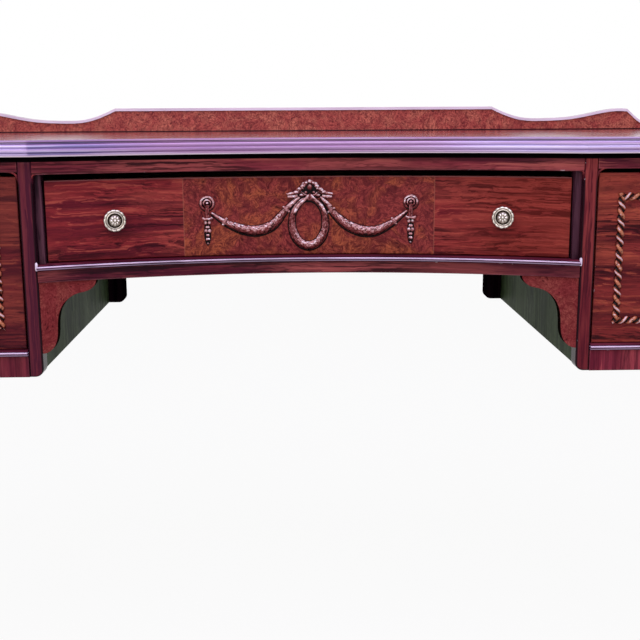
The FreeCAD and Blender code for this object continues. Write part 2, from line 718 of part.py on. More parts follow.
def make_ledges():
    """Bull-nosed ledges under the drawers, and the fillers at the wide drawer's ends."""
    stand = value("bead_stand")
    depth = stand + value("rail_depth")
    radius = value(BOW_RADIUS)
    knee = value(KNEE_HALF)
    profile = ledge_profile(depth, stand, value(CENTRE_RAIL_TOP), value("centre_bead_height"))
    turn = math.degrees(math.asin(knee / radius)) + math.degrees(value("overrun") / radius)
    run = bowed_run(profile, radius, value(BOW_CENTRE), turn)
    end = beyond(FreeCAD.Vector(knee, 0, value(CENTRE_SILL)), X_AXIS)
    feature("ledge_centre", run.cut(end).cut(mirrored(end)))

    profile = ledge_profile(depth, stand, value(SIDE_RAIL_TOP), value("side_bead_height"))
    start = FreeCAD.Vector(value(STILE_OUTER), value(CASE_FRONT), 0)
    finish = FreeCAD.Vector(value(POST_INNER), value(CASE_FRONT), 0)
    run = straight_run(profile, start, finish, FORWARD)
    feature("ledge_right", run)
    feature("ledge_left", mirrored(run))

    front = plus(CASE_FRONT, "jamb_setback")
    fillers = []
    for side in ("left", "right"):
        across = span(side, less(KNEE_HALF, "jamb_width"), KNEE_HALF)
        deep = (front, plus(front, "jamb_depth"))
        fillers.append(board(f"jamb_{side}", across, deep, (CENTRE_SILL, CENTRE_HEAD)))
    grouped("drawer_jambs", fillers)


# Lower edge of a kneehole bracket: across from the stile as a share of its width,
# down from the rail as a share of its height.

SPANDREL_TIP_SHARES = (1.0, 0.0)
SPANDREL_EDGE_SHARES = (
    (0.955, 0.09), (0.84, 0.15), (0.665, 0.18), (0.467, 0.263), (0.334, 0.41),
    (0.285, 0.60), (0.268, 0.78), (0.20, 0.92), (0.10, 0.985),
)
SPANDREL_FOOT_SHARES = (0.0, 1.0)


def make_spandrels():
    """Ogee brackets that follow the hollow front, under the rail and against the stiles."""
    knee = value(KNEE_HALF)
    rail = value(KNEE_TOP)
    front = value(TOP_FRONT)

    def place(shares):
        x = knee - value("spandrel_width") * shares[0]
        return FreeCAD.Vector(x, front, rail - value("spandrel_height") * shares[1])

    shares = [SPANDREL_TIP_SHARES, *SPANDREL_EDGE_SHARES, SPANDREL_FOOT_SHARES]
    points = [place(one) for one in shares]
    corner = FreeCAD.Vector(knee, front, rail)
    face = outline(smooth(points), line(points[-1], corner), line(corner, points[0]))
    slab = face.extrude(Y_AXIS * value("desk_depth / 2"))
    bracket = slab.common(bowed_shell("spandrel_setback", "spandrel_thickness"))
    feature("spandrel_right", bracket)
    feature("spandrel_left", mirrored(bracket))


def make_case_boards():
    stile_back = plus(CASE_FRONT, "stile_depth")
    post_back = plus(CASE_FRONT, "post_size")
    rear_post = less(CASE_BACK, "post_size")
    panel_outer = plus(INNER_PANEL_FACE, "panel_thickness")
    end_outer = less(CASE_HALF, "end_setback")
    end_inner = less(end_outer, "panel_thickness")
    back_front = less(CASE_BACK, "panel_thickness")
    rear_stile_outer = plus(REAR_STILE_INNER, "rear_stile_width")
    bottom_top = plus(PEDESTAL_LOW, "pedestal_bottom_thickness")
    full = (PEDESTAL_LOW, CASE_TOP)
    for side in ("left", "right"):
        knee_wall = span(side, INNER_PANEL_FACE, panel_outer)
        eased_board(f"inner_panel_{side}", knee_wall, (stile_back, REAR_FACE), full)
        end_wall = span(side, end_inner, end_outer)
        eased_board(f"end_panel_{side}", end_wall, (post_back, rear_post), full)
        rear_wall = span(side, rear_stile_outer, POST_INNER)
        eased_board(f"back_panel_{side}", rear_wall, (back_front, CASE_BACK), full)
        floor = board(
            f"pedestal_bottom_{side}", span(side, panel_outer, end_inner), (stile_back, back_front),
            (PEDESTAL_LOW, bottom_top),
        )
        front_notch = board(
            f"front_notch_{side}", span(side, POST_INNER, CASE_HALF), (CASE_FRONT, post_back), full,
        )
        rear_notch = board(
            f"rear_notch_{side}", span(side, POST_INNER, CASE_HALF), (rear_post, CASE_BACK), full,
        )
        notched = cut(f"floor_notched_{side}", floor, front_notch)
        keep(cut(f"pedestal_bottom_notched_{side}", notched, rear_notch), f"pedestal_bottom_{side}")
    eased_board(
        "back_rail", (minus(REAR_STILE_INNER), REAR_STILE_INNER), (REAR_FACE, CASE_BACK),
        (KNEE_TOP, CASE_TOP),
    )


# Knobs: a turned neck that opens into a dished rosette with a boss in the middle.
# Outline: radius as a share of the knob's radius, height as a share of how far the
# knob stands out. A middle point makes an arc of three points.

KNOB_TURNING_SHARES = (
    ((0.62, 0.0), None),
    ((0.56, 0.12), (0.63, 0.07)),
    ((0.98, 0.56), (0.50, 0.38)),
    ((0.88, 0.78), (1.0, 0.69)),
    ((0.55, 0.74), (0.70, 0.70)),
    ((0.52, 0.80), None),
    ((0.20, 0.98), (0.42, 0.93)),
)


def knob(foot, outward):
    """A knob on a drawer's face, with the threaded stud that holds it there."""
    head = turned_solid(KNOB_TURNING_SHARES, value("knob_radius"), value("knob_projection"), FreeCAD.Vector())
    length = value("knob_stud_length")
    stud = Part.makeCylinder(value("knob_stud_radius"), length, FreeCAD.Vector(0, 0, -length))
    solid = head.fuse(stud).removeSplitter()
    solid.Placement = FreeCAD.Placement(foot, facing(outward))
    return solid


def knob_hole(label, foot, outward):
    """The blind hole that the stud is screwed into, made from the face inwards."""
    hole = DOC.addObject("Part::Cylinder", label)
    hole.setExpression("Radius", named(plus("knob_stud_radius", "knob_stud_gap")))
    hole.setExpression("Height", named(plus("knob_stud_length", "knob_stud_gap")))
    hole.Placement = FreeCAD.Placement(foot, facing(-1 * outward))
    return hole


# Drawers. Each is a front, two grooved sides, a back, and a bottom in the grooves.


def drawer_box(name, x, y, z, curve=None):
    """Everything of a drawer but its front; a curve trims it behind a hollow front."""
    low, high = z
    side_top = less(high, "side_drop")
    bottom_low = plus(low, "bottom_lift")
    bottom_high = plus(bottom_low, "bottom_thickness")
    inner = (plus(x[0], "lining_thickness"), less(x[1], "lining_thickness"))
    floor_x = (less(inner[0], "groove_depth"), plus(inner[1], "groove_depth"))
    floor = board(f"{name}_floor", floor_x, y, (bottom_low, bottom_high))
    sides = {
        "left": board(f"{name}_left_lining", (x[0], inner[0]), y, (low, side_top)),
        "right": board(f"{name}_right_lining", (inner[1], x[1]), y, (low, side_top)),
    }
    for side, lining in sides.items():
        grooved = cut(f"{name}_{side}_grooved", lining, floor)
        if curve:
            grooved = cut(f"{name}_{side}_fitted", grooved, curve)
        keep(grooved, f"{name}_{side}_side")
    if curve:
        floor = cut(f"{name}_floor_fitted", floor, curve)
    keep(floor, f"{name}_bottom")
    back = board(
        f"{name}_rear_lining", inner, (less(y[1], "lining_thickness"), y[1]),
        (bottom_high, less(side_top, "back_drop")),
    )
    keep(back, f"{name}_back")


def bored_front(label, front, feet):
    """A drawer front with the holes for its knobs."""
    for index, foot in enumerate(feet):
        front = cut(f"{label}_bored_{index}", front, knob_hole(f"{label}_hole_{index}", *foot))
    keep(front, label)


def make_centre_drawer():
    low, high = CENTRE_FRONT_LOW, CENTRE_FRONT_HIGH
    label = "centre_drawer_front"
    front = bowed_board(label, "centre_recess", "front_thickness", CENTRE_FRONT_HALF, (low, high))
    radius = value(CENTRE_FACE_RADIUS)
    centre = FreeCAD.Vector(0, value(BOW_CENTRE), (value(low) + value(high)) / 2)
    feet = []
    for x in (-value("knob_reach"), value("knob_reach")):
        out = FreeCAD.Vector(x, math.sqrt(radius ** 2 - x ** 2), 0)
        feet.append((centre + out, -1 * out.normalize()))
    bored_front(label, front, feet)
    feature("centre_drawer_knobs", Part.makeCompound([knob(*foot) for foot in feet]))
    back_of_front = cylinder(
        "centre_front_curve", plus(CENTRE_FACE_RADIUS, "front_thickness"), BOW_CENTRE,
        (less(low, "overrun"), plus(high, "overrun")),
    )
    across = (minus(CENTRE_FRONT_HALF), CENTRE_FRONT_HALF)
    drawer_box("centre_drawer", across, (CASE_FRONT, DRAWER_BACK), (low, high), back_of_front)


# Rounding of a rope frame's front edges, as a share of its width.

ROPE_ROUND_SHARE = 0.4


def make_side_drawer(side):
    low, high = SIDE_FRONT_LOW, SIDE_FRONT_HIGH
    name = f"{side}_drawer"
    x = span(side, plus(STILE_OUTER, "side_end_gap"), less(POST_INNER, "side_end_gap"))
    face = plus(CASE_FRONT, "side_recess")
    inside = plus(face, "front_thickness")
    front = eased_board(f"{name}_front", x, (face, inside), (low, high))
    middle = FreeCAD.Vector((value(x[0]) + value(x[1])) / 2, value(face), (value(low) + value(high)) / 2)
    bored_front(f"{name}_front", front, [(middle, FORWARD)])
    feature(f"{name}_knob", knob(middle, FORWARD))
    drawer_box(name, x, (inside, DRAWER_BACK), (low, high))

    margin = value("rope_margin")
    wide = value(x[1]) - value(x[0]) - 2 * margin
    tall = value(high) - value(low) - 2 * margin
    rope = value("rope_width")
    relief = value("rope_relief")
    corner = FreeCAD.Vector(value(x[0]) + margin, value(face) - relief, value(low) + margin)
    frame = Part.makeBox(wide, relief, tall, corner)
    opening = Part.makeBox(wide - 2 * rope, relief, tall - 2 * rope, corner + FreeCAD.Vector(rope, 0, rope))
    frame = frame.cut(opening)
    front_edges = [edge for edge in frame.Edges if math.isclose(edge.BoundBox.YMax, corner.y, abs_tol=TOUCH)]
    feature(f"{name}_rope_frame", frame.makeFillet(rope * ROPE_ROUND_SHARE, front_edges))


# The carving on the wide drawer: a laurel oval under a ribbon bow, with a swag to
# each side that ends in a rosette and hanging husks. Outlines are shares of the
# sizes of the pieces that they belong to.

BOW_OUTLINE_SHARES = (
    (-1.0, 0.60), (-0.95, 0.66), (-0.45, 0.72), (0.0, 1.0), (0.45, 0.72),
    (0.95, 0.66), (1.0, 0.60), (0.45, 0.58), (0.0, 0.50), (-0.45, 0.58),
)
SWAG_KNOT_SHARES = (0.65, 0.61)
SWAG_MIDDLE_SHARE = 0.57
SWAG_TIP_SHARE = 0.35
WREATH_OPENING_SHARE = 0.92


def disc(centre, radius):
    return Part.Face(Part.Wire(Part.Circle(centre, FORWARD, radius).toShape()))


def oval(centre, half_width, half_height):
    curve = Part.Ellipse(
        centre + FreeCAD.Vector(0, 0, half_height), centre + FreeCAD.Vector(half_width, 0, 0), centre,
    )
    return Part.Face(Part.Wire(curve.toShape()))


def make_carving():
    middle_z = (value(CENTRE_FRONT_LOW) + value(CENTRE_FRONT_HIGH)) / 2 - value("wreath_drop")
    middle = FreeCAD.Vector(0, value(CASE_FRONT), middle_z)

    def place(x, z):
        return middle + FreeCAD.Vector(x, 0, z)

    band = value("wreath_band")
    wide = value("wreath_half_width")
    tall = value("wreath_half_height")
    opening = oval(place(0, value("wreath_lift")), wide - band, (tall - band) * WREATH_OPENING_SHARE)
    wreath = oval(middle, wide, tall).cut(opening)
    bow_points = [
        place(value("bow_half_width") * across, value("bow_rise") * up) for across, up in BOW_OUTLINE_SHARES
    ]
    bow = Part.Face(Part.makePolygon(bow_points + bow_points[:1]))
    rosette = place(value("rosette_reach"), value("rosette_rise"))
    length = value("pendant_length")
    half = value("pendant_half_width")
    pendant_points = [
        rosette + FreeCAD.Vector(-half, 0, 0), rosette + FreeCAD.Vector(half, 0, 0),
        rosette + FreeCAD.Vector(half, 0, -length / 2), rosette + FreeCAD.Vector(0, 0, -length),
        rosette + FreeCAD.Vector(-half, 0, -length / 2),
    ]
    pendant = Part.Face(Part.makePolygon(pendant_points + pendant_points[:1]))
    thick = value("swag_half_width")
    knot = place(value("wreath_half_width") * SWAG_KNOT_SHARES[0], value("bow_rise") * SWAG_KNOT_SHARES[1])
    tip = rosette + FreeCAD.Vector(0, 0, -value("rosette_radius"))
    hang = FreeCAD.Vector(tip.x * SWAG_MIDDLE_SHARE, tip.y, middle.z - value("swag_dip"))
    narrow = FreeCAD.Vector(0, 0, thick * SWAG_TIP_SHARE)
    low_side = Part.Arc(knot - narrow, hang, tip - narrow)
    high_side = Part.Arc(knot + narrow, hang + FreeCAD.Vector(0, 0, 2 * thick), tip + narrow)
    swag = outline(low_side, high_side, line(knot - narrow, knot + narrow), line(tip - narrow, tip + narrow))
    right = [disc(rosette, value("rosette_radius")), pendant, swag]
    slabs = []
    for face in [wreath, bow] + right + [mirrored(face) for face in right]:
        slabs.append(face.extrude(Y_AXIS * value("desk_depth / 2")))
    solid = slabs[0].fuse(slabs[1:])
    setback = less("centre_recess", "carving_relief")
    feature("laurel_carving", solid.common(bowed_shell(setback, "carving_relief")))


def make_runners():
    """Runners that carry the drawers, with guides beside the drawer sides."""
    top = less(CENTRE_FRONT_LOW, "slide_gap")
    start = plus(CASE_FRONT, "jamb_setback", "jamb_depth")
    rail_back = cylinder(
        "rail_back_curve", plus(BOW_RADIUS, "rail_depth"), BOW_CENTRE, (KNEE_TOP, CENTRE_HEAD),
    )
    pair = []
    for side in ("left", "right"):
        runner = board(
            f"centre_runner_{side}", span(side, less(CENTRE_FRONT_HALF, "runner_reach"), INNER_PANEL_FACE),
            (start, REAR_FACE), (less(top, "runner_thickness"), top),
        )
        guide = board(
            f"centre_guide_{side}", span(side, plus(CENTRE_FRONT_HALF, "guide_gap"), INNER_PANEL_FACE),
            (start, REAR_FACE), (top, plus(top, "guide_height")),
        )
        joined = fused(f"centre_runner_guide_{side}", [runner, guide])
        pair.append(cut(f"centre_runner_fitted_{side}", joined, rail_back))
    grouped("centre_drawer_runners", pair)

    top = less(SIDE_FRONT_LOW, "slide_gap")
    floor = plus(PEDESTAL_LOW, "pedestal_bottom_thickness")
    panel_outer = plus(INNER_PANEL_FACE, "panel_thickness")
    drawer_inner = plus(STILE_OUTER, "side_end_gap")
    drawer_outer = less(POST_INNER, "side_end_gap")
    end_inner = less(CASE_HALF, "end_setback", "panel_thickness")
    between_posts = (plus(CASE_FRONT, "post_size"), less(CASE_BACK, "post_size"))
    runners = []
    for side in ("left", "right"):
        runners.append(board(
            f"inner_runner_{side}", span(side, panel_outer, plus(drawer_inner, "runner_reach")),
            (plus(CASE_FRONT, "rail_depth"), less(CASE_BACK, "panel_thickness")), (floor, top),
        ))
        outer = board(
            f"outer_runner_{side}", span(side, less(drawer_outer, "runner_reach"), end_inner),
            between_posts, (floor, top),
        )
        guide = board(
            f"outer_guide_{side}", span(side, plus(drawer_outer, "guide_gap"), end_inner),
            between_posts, (top, plus(top, "guide_height")),
        )
        runners.append(fused(f"outer_runner_guide_{side}", [outer, guide]))
    grouped("pedestal_runners", runners)


make_top()
make_gallery()
make_legs()
make_stiles()
make_front_rails()
make_ledges()
make_spandrels()
make_case_boards()
make_runners()
make_centre_drawer()
make_side_drawer("left")
make_side_drawer("right")
make_carving()
DOC.recompute()

for item in DOC.Objects:
    if "Invalid" in item.State or "Error" in item.State:
        raise RuntimeError(f"{item.Label} did not recompute: {item.State}")
for label, piece in PIECES.items():
    if piece.Shape.isNull() or not piece.Shape.isValid():
        raise RuntimeError(f"{label} has no valid shape")

os.makedirs("parts", exist_ok=True)
for label, piece in PIECES.items():
    piece.Shape.exportStep(f"parts/{label}.step")
print(f"{len(PIECES)} pieces written")
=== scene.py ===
# %% [markdown]
# # A kneehole writing desk in rosewood and burl
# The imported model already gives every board, rail and leg its true size and place. This lesson adds what
# the eye judges: the figure of the woods, the polish, the carved laurel, the rope mouldings and the brass.
# Everything is in metres: X to the sitter's right, Y to the back, Z up, the origin on the floor.

import math

import bmesh
import bpy
import numpy as np
from mathutils import Matrix, Vector


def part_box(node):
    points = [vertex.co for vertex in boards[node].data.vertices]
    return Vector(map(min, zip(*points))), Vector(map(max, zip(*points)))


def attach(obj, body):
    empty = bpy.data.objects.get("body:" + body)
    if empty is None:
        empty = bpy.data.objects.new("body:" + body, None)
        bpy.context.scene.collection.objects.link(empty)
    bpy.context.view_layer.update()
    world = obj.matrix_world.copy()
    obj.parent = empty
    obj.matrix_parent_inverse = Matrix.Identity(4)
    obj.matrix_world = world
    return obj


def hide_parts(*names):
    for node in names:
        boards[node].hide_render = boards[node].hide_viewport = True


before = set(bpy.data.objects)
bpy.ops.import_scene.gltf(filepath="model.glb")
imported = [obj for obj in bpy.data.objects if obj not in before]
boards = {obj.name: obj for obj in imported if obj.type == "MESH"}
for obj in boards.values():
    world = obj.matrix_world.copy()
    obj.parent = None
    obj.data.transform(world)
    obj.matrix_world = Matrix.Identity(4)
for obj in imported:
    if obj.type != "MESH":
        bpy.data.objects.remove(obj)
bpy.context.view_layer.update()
print("boards and other pieces in the frame:", len(boards))

# %% [markdown]
# ## Camera
# The picture was taken a little above the writing surface, a step and a half away and just left of the
# middle. Three small turns say how the camera is held: heading, tilt down and roll. They could be typed as
# Euler angles, but three axes built one from the other are easier to follow.

# %% Place the camera
CAMERA_PLACE = Vector((-0.02166, -1.53019, 0.79896))
HEADING, TILT, ROLL = -0.0262, 0.2007, -0.0055
SENSOR_WIDTH, FOCAL_SHARE = 36, 1.5937


def show(name, data):
    """Puts an object with the given mesh, lamp or camera into the scene."""
    made = bpy.data.objects.new(name, data)
    bpy.context.scene.collection.objects.link(made)
    return made


along_floor = Vector((-math.sin(HEADING), math.cos(HEADING), 0))
level = Vector((math.cos(HEADING), math.sin(HEADING), 0))
upright = Vector((0, 0, 1))
ahead = along_floor * math.cos(TILT) - upright * math.sin(TILT)
above = upright * math.cos(TILT) + along_floor * math.sin(TILT)
to_right = level * math.cos(ROLL) + above * math.sin(ROLL)
to_top = above * math.cos(ROLL) - level * math.sin(ROLL)

camera_data = bpy.data.cameras.new("camera")
camera_data.sensor_width = SENSOR_WIDTH
camera_data.lens = SENSOR_WIDTH * FOCAL_SHARE
camera = show("camera", camera_data)
camera.matrix_world = Matrix((to_right, to_top, -ahead)).transposed().to_4x4()
camera.location = CAMERA_PLACE
bpy.context.scene.camera = camera
bpy.context.scene.view_settings.view_transform = "Standard"
print("lens in mm:", round(camera_data.lens, 2))

# %% [markdown]
# ## Helpers for node trees
# Shader nodes can be placed by hand in the editor. In a script, one helper that adds a node and fills its
# sockets keeps materials short, and a small class lets sums and products of outputs be written as such.
# Colours are hex codes, as picked on screen, turned to the renderer's linear values.

# %% Colours
def colour(code):
    """Linear colour of a hex code: a channel c becomes ((c + 0.055) / 1.055) ** 2.4, or c / 12.92 if dark."""
    screen = np.array([int(code[i:i + 2], 16) for i in (1, 3, 5)]) / 255
    linear = np.where(screen <= 0.04045, screen / 12.92, ((screen + 0.055) / 1.055) ** 2.4)
    return (*linear.tolist(), 1)


print("a dark red in linear light:", [round(v, 4) for v in colour("#6a2a26")[:3]])

# %% Nodes and the wires between them
class Wire:
    """What comes out of a node. Arithmetic with wires adds Math nodes to their tree."""

    def __init__(self, socket):
        self.socket = socket
        self.tree = socket.id_data

    def __add__(self, other):
        return reckon("ADD", self, other)

    def __sub__(self, other):
        return reckon("SUBTRACT", self, other)

    def __mul__(self, other):
        return reckon("MULTIPLY", self, other)

    def __abs__(self):
        return reckon("ABSOLUTE", self)


def fill(node, inputs):
    """Sets inputs of a node. Each is a wire, a number, a row of numbers or the hex code of a colour."""
    for place, given in inputs.items():
        if isinstance(given, Wire):
            given.tree.links.new(given.socket, node.inputs[place])
        else:
            node.inputs[place].default_value = colour(given) if isinstance(given, str) else given


def add(tree, kind, inputs, out=0, **options):
    """Adds a node and returns the wire from one of its outputs."""
    made = tree.nodes.new("ShaderNode" + kind)
    for name, choice in options.items():
        setattr(made, name, choice)
    fill(made, inputs)
    return Wire(made.outputs[out]) if len(made.outputs) else None


def reckon(operation, *values):
    """One step of arithmetic, done axis by axis when the first wire carries a vector."""
    kind = "Math" if values[0].socket.type == "VALUE" else "VectorMath"
    return add(values[0].tree, kind, dict(enumerate(values)), operation=operation)


print("helpers ready: fill, add and reckon")

# %% Short names for what every material needs
def ramp(value, low, high, first=0, last=1):
    """Runs smoothly from first to last while a value goes from low to high."""
    ends = {0: value, 1: low, 2: high, 3: first, 4: last}
    return add(value.tree, "MapRange", ends, interpolation_type="SMOOTHSTEP")


def lay(share, under, over):
    """Lays one colour over another."""
    return add(share.tree, "Mix", {0: share, 6: under, 7: over}, 2, data_type="RGBA")


def paint(wood, *coats):
    """Lays coats over a colour one after the other, each given as its mask, its strength and its tone."""
    for mask, strength, tone in coats:
        wood = lay(mask * strength, wood, tone)
    return wood


def speckle(place, amounts, detail=3, roughness=0.55, distortion=0):
    """Noise whose grains are narrow along the axes with large amounts."""
    noise = {"Vector": place * amounts, "Scale": 1, "Detail": detail, "Roughness": roughness,
             "Distortion": distortion}
    return add(place.tree, "TexNoise", noise)


def object_place(tree):
    """The place of a point, in metres from the middle of the floor."""
    return add(tree, "TexCoord", {}, "Object")


def part(vector, axis):
    """The first, second or third number of a vector, counted 0, 1 and 2."""
    return add(vector.tree, "SeparateXYZ", {0: vector}, axis)


def facing(tree, axis):
    """How far a surface looks along one axis, from -1 to 1."""
    return part(add(tree, "NewGeometry", {}, "Normal"), axis)


print("helpers ready: ramp, lay, paint, speckle, object_place, part and facing")

# %% Node groups
def wires(node):
    """The wires that come out of a node, by name."""
    return {socket.name: Wire(socket) for socket in node.outputs}


def effect(name, inputs, outputs):
    """Starts a node group: its tree, the wires that come in, and the node that takes what goes out.

    Each input has its usual number, or None where it is a vector. All outputs are numbers."""
    tree = bpy.data.node_groups.new(name, "ShaderNodeTree")
    for label, usual in inputs.items():
        kind = "NodeSocketVector" if usual is None else "NodeSocketFloat"
        socket = tree.interface.new_socket(label, in_out="INPUT", socket_type=kind)
        if usual is not None:
            socket.default_value = usual
    for label in outputs:
        tree.interface.new_socket(label, in_out="OUTPUT", socket_type="NodeSocketFloat")
    return tree, wires(tree.nodes.new("NodeGroupInput")), tree.nodes.new("NodeGroupOutput")


def use(group, **inputs):
    """Places a node group in the tree that its Place comes from."""
    made = inputs["Place"].tree.nodes.new("ShaderNodeGroup")
    made.node_tree = group
    fill(made, inputs)
    return wires(made)


print("helpers ready: wires, effect and use")

# %% [markdown]
# ## Studio
# The desk is shown on white, as in a catalogue, over a plain pale floor that keeps its shadow. The white
# comes from Light Path: rays from the camera, and those that a mirror or glass sends on, see white, while the
# light that falls on the wood is a quiet grey. A wide soft lamp overhead draws the bright lines on the
# mouldings, as the open sky does, and one in front fills the faces.

# %% Floor
FLOOR_HALF = 9
WHITE_SHARE = 0.94
materials = {}


def new_material(name):
    """Starts a material, keeps it under its name and returns its node tree."""
    made = bpy.data.materials.new(name)
    made.use_nodes = True
    made.node_tree.nodes.clear()
    materials[name] = made
    return made.node_tree


def seen_directly(tree):
    """1 for camera, glossy and transmission rays, else 0."""
    camera_ray = add(tree, "LightPath", {}, "Is Camera Ray")
    mirror_ray = add(tree, "LightPath", {}, "Is Glossy Ray")
    glass_ray = add(tree, "LightPath", {}, "Is Transmission Ray")
    return reckon("MAXIMUM", reckon("MAXIMUM", camera_ray, mirror_ray), glass_ray)


floor_mesh = bpy.data.meshes.new("floor")
corners = [(x * FLOOR_HALF, y * FLOOR_HALF, 0) for x, y in ((-1, -1), (1, -1), (1, 1), (-1, 1))]
floor_mesh.from_pydata(corners, [], [(0, 1, 2, 3)])
floor = show("floor", floor_mesh)
tree = new_material("pale_floor")
matt = add(tree, "BsdfDiffuse", {"Color": "#d8d6d4"})
lit = add(tree, "Emission", {"Color": "#ffffff", "Strength": 1})
both = add(tree, "MixShader", {0: seen_directly(tree) * WHITE_SHARE, 1: matt, 2: lit})
add(tree, "OutputMaterial", {"Surface": both})
floor_mesh.materials.append(materials["pale_floor"])
print("floor, in m across:", 2 * FLOOR_HALF)

# %% Background
world = bpy.data.worlds.new("studio")
bpy.context.scene.world = world
world.use_nodes = True
tree = world.node_tree
tree.nodes.clear()
quiet = add(tree, "Background", {"Color": "#eeeefa", "Strength": 0.34})
white = add(tree, "Background", {"Color": "#ffffff", "Strength": 1})
both = add(tree, "MixShader", {0: seen_directly(tree), 1: quiet, 2: white})
add(tree, "OutputWorld", {"Surface": both})
print("background:", world.name)

# %% Lamps
def lamp(name, place, target, size, power, tint):
    """A soft rectangular lamp aimed at a point."""
    data = bpy.data.lights.new(name, "AREA")
    data.shape = "RECTANGLE"
    data.size, data.size_y = size
    data.energy = power
    data.color = colour(tint)[:3]
    made = show(name, data)
    made.location = place
    made.rotation_euler = (Vector(target) - Vector(place)).to_track_quat("-Z", "Y").to_euler()


lamp("sky_lamp", (0, -0.9, 2.5), (0, -0.2, 0.7), (3.2, 1.8), 56, "#e2dcff")
lamp("front_lamp", (-0.7, -3.4, 1.9), (0, -0.2, 0.6), (2.6, 1.8), 40, "#fff2e8")
print("lamps:", [data.name for data in bpy.data.lights])

# %% [markdown]
# ## Figure of rosewood
# Rosewood is brown-red wood crossed by dark, almost purple lines that wander like contour lines. They are
# stretched noise: fine across the grain and long along it. Broader noise first pushes the place sideways, so
# the lines wave together, and a sine of the broad bands adds true contour lines. One group gives four masks,
# and each board mixes them with its own colours and turns them to its own grain.

# %% Group: rosewood figure
rosewood, given, result = effect(
    "rosewood_figure", {"Place": None, "Wave": 0.012, "Fineness": 1}, ("Tone", "Line", "Streak", "Pore"))
place = given["Place"]
wander = speckle(place, (4.5, 13, 13), 2) - 0.5
ripple = speckle(place, (26, 60, 60), 2) - 0.5
push = (ripple * 0.22 + wander) * (given["Wave"] * 4)
scaled = (place + add(rosewood, "CombineXYZ", {1: push, 2: push})) * given["Fineness"]
bands = speckle(scaled, (1.2, 34, 34), 4, 0.6)
lines = speckle(scaled, (2, 120, 120), 5, 0.62)
hairs = speckle(scaled, (16, 700, 700), 2)
contour = ramp(reckon("SINE", bands * 90 + ripple * 5), 0.35, 0.95) * ramp(lines, 0.42, 0.56)
cluster = ramp(speckle(scaled, (2.2, 9, 9), 3), 0.42, 0.58, 0.25, 1)
fill(result, {
    "Tone": ramp(bands, 0.4, 0.6),
    "Line": reckon("MAXIMUM", ramp(lines, 0.5, 0.6), contour) * cluster,
    "Streak": ramp(lines, 0.45, 0.36),
    "Pore": ramp(hairs, 0.54, 0.66),
})
print("rosewood figure: tone, line, streak and pore")

# %% [markdown]
# ## Figure of burl
# Burl is cut from a knotty growth, so it has no straight grain: pale and dark clouds curl round small dark
# eyes, and the whole is finely speckled. Noise pushed by noise gives the curls, a sine of it draws swirls,
# and the distance to scattered points gives the eyes, which come in families.

# %% Group: burl figure
burl, given, result = effect(
    "burl_figure", {"Place": None, "Fineness": 1}, ("Cloud", "Curl", "Swirl", "Eye", "Fleck"))
scaled = given["Place"] * given["Fineness"]
turning = add(burl, "TexNoise", {"Vector": scaled, "Scale": 16, "Detail": 3}, "Color")
curled = scaled + (turning - (0.5, 0.5, 0.5)) * (0.055, 0.055, 0.055)
curls = speckle(curled, (95, 95, 95), 5, 0.6, 1.4)
whirl = speckle(curled, (52, 52, 52), 1.5, 0.5, 1.2)
eyes = add(burl, "TexVoronoi", {"Vector": curled, "Scale": 95, "Randomness": 1}, "Distance")
families = ramp(speckle(scaled, (30, 30, 30), 2), 0.46, 0.56)
fill(result, {
    "Cloud": ramp(speckle(curled, (22, 22, 22), 3, 0.5, 0.8), 0.4, 0.64),
    "Curl": ramp(curls, 0.34, 0.62),
    "Swirl": ramp(reckon("SINE", whirl * 38 + curls * 8), -0.1, 0.9),
    "Eye": ramp(eyes, 0.26, 0.1) * families,
    "Fleck": ramp(speckle(curled, (620, 620, 620), 3, 0.6), 0.46, 0.58),
})
print("burl figure: cloud, curl, swirl, eye and fleck")

# %% [markdown]
# ## Polish and wear
# French polish is rubbed on by hand, so its gloss varies a little. Corners lose polish first. On a board, the
# softened corners are the only places whose normal lies between two axes, so the largest part of the normal
# finds them. Some chips there went down to pale wood.

# %% Groups: polish and wear
polish, given, result = effect("hand_polish", {"Place": None, "Roughness": 0.2}, ("Roughness", "Height"))
smears = speckle(given["Place"], (14, 30, 30), 4, 0.6)
fill(result, {
    "Roughness": given["Roughness"] + (smears * 0.16 - 0.08),
    "Height": speckle(given["Place"], (70, 160, 160), 2),
})

wear, given, result = effect("corner_wear", {"Place": None, "Facing": None}, ("Corner", "Chip"))
x, y, z = (part(abs(given["Facing"]), axis) for axis in range(3))
corner = ramp(reckon("MAXIMUM", reckon("MAXIMUM", x, y), z), 0.93, 0.8)
patchy = ramp(speckle(given["Place"], (60, 60, 60), 4), 0.36, 0.6, 0.35, 1)
chips = ramp(speckle(given["Place"], (100, 100, 100), 3), 0.67, 0.7)
fill(result, {"Corner": corner * patchy, "Chip": corner * chips})
print("groups so far:", [g.name for g in bpy.data.node_groups])

# %% [markdown]
# ## Rosewood boards
# The same tree of wood serves stiles, rails, legs and panels. Only the way the grain runs, the colours and
# the gloss change, so one function builds them all. The grain runs along each board, except on the rails
# under the deep drawers, whose veneer is laid across, as crossbanding.

# %% Grain, and the surface over it
AXES = {"x": (0, 1, 2), "y": (1, 0, 2), "z": (2, 1, 0)}


def grain_place(tree, along, offset=(0, 0, 0), veneer=False):
    """Object place with the grain turned to its first axis, moved to another part of the tree.

    A veneer is one thin sheet, bent over its board, so its figure hardly changes with the depth."""
    place = object_place(tree)
    turned = add(tree, "CombineXYZ", {i: part(place, axis) for i, axis in enumerate(AXES[along])})
    if veneer:
        turned = turned * (1, 0.08, 1)
    return turned + offset


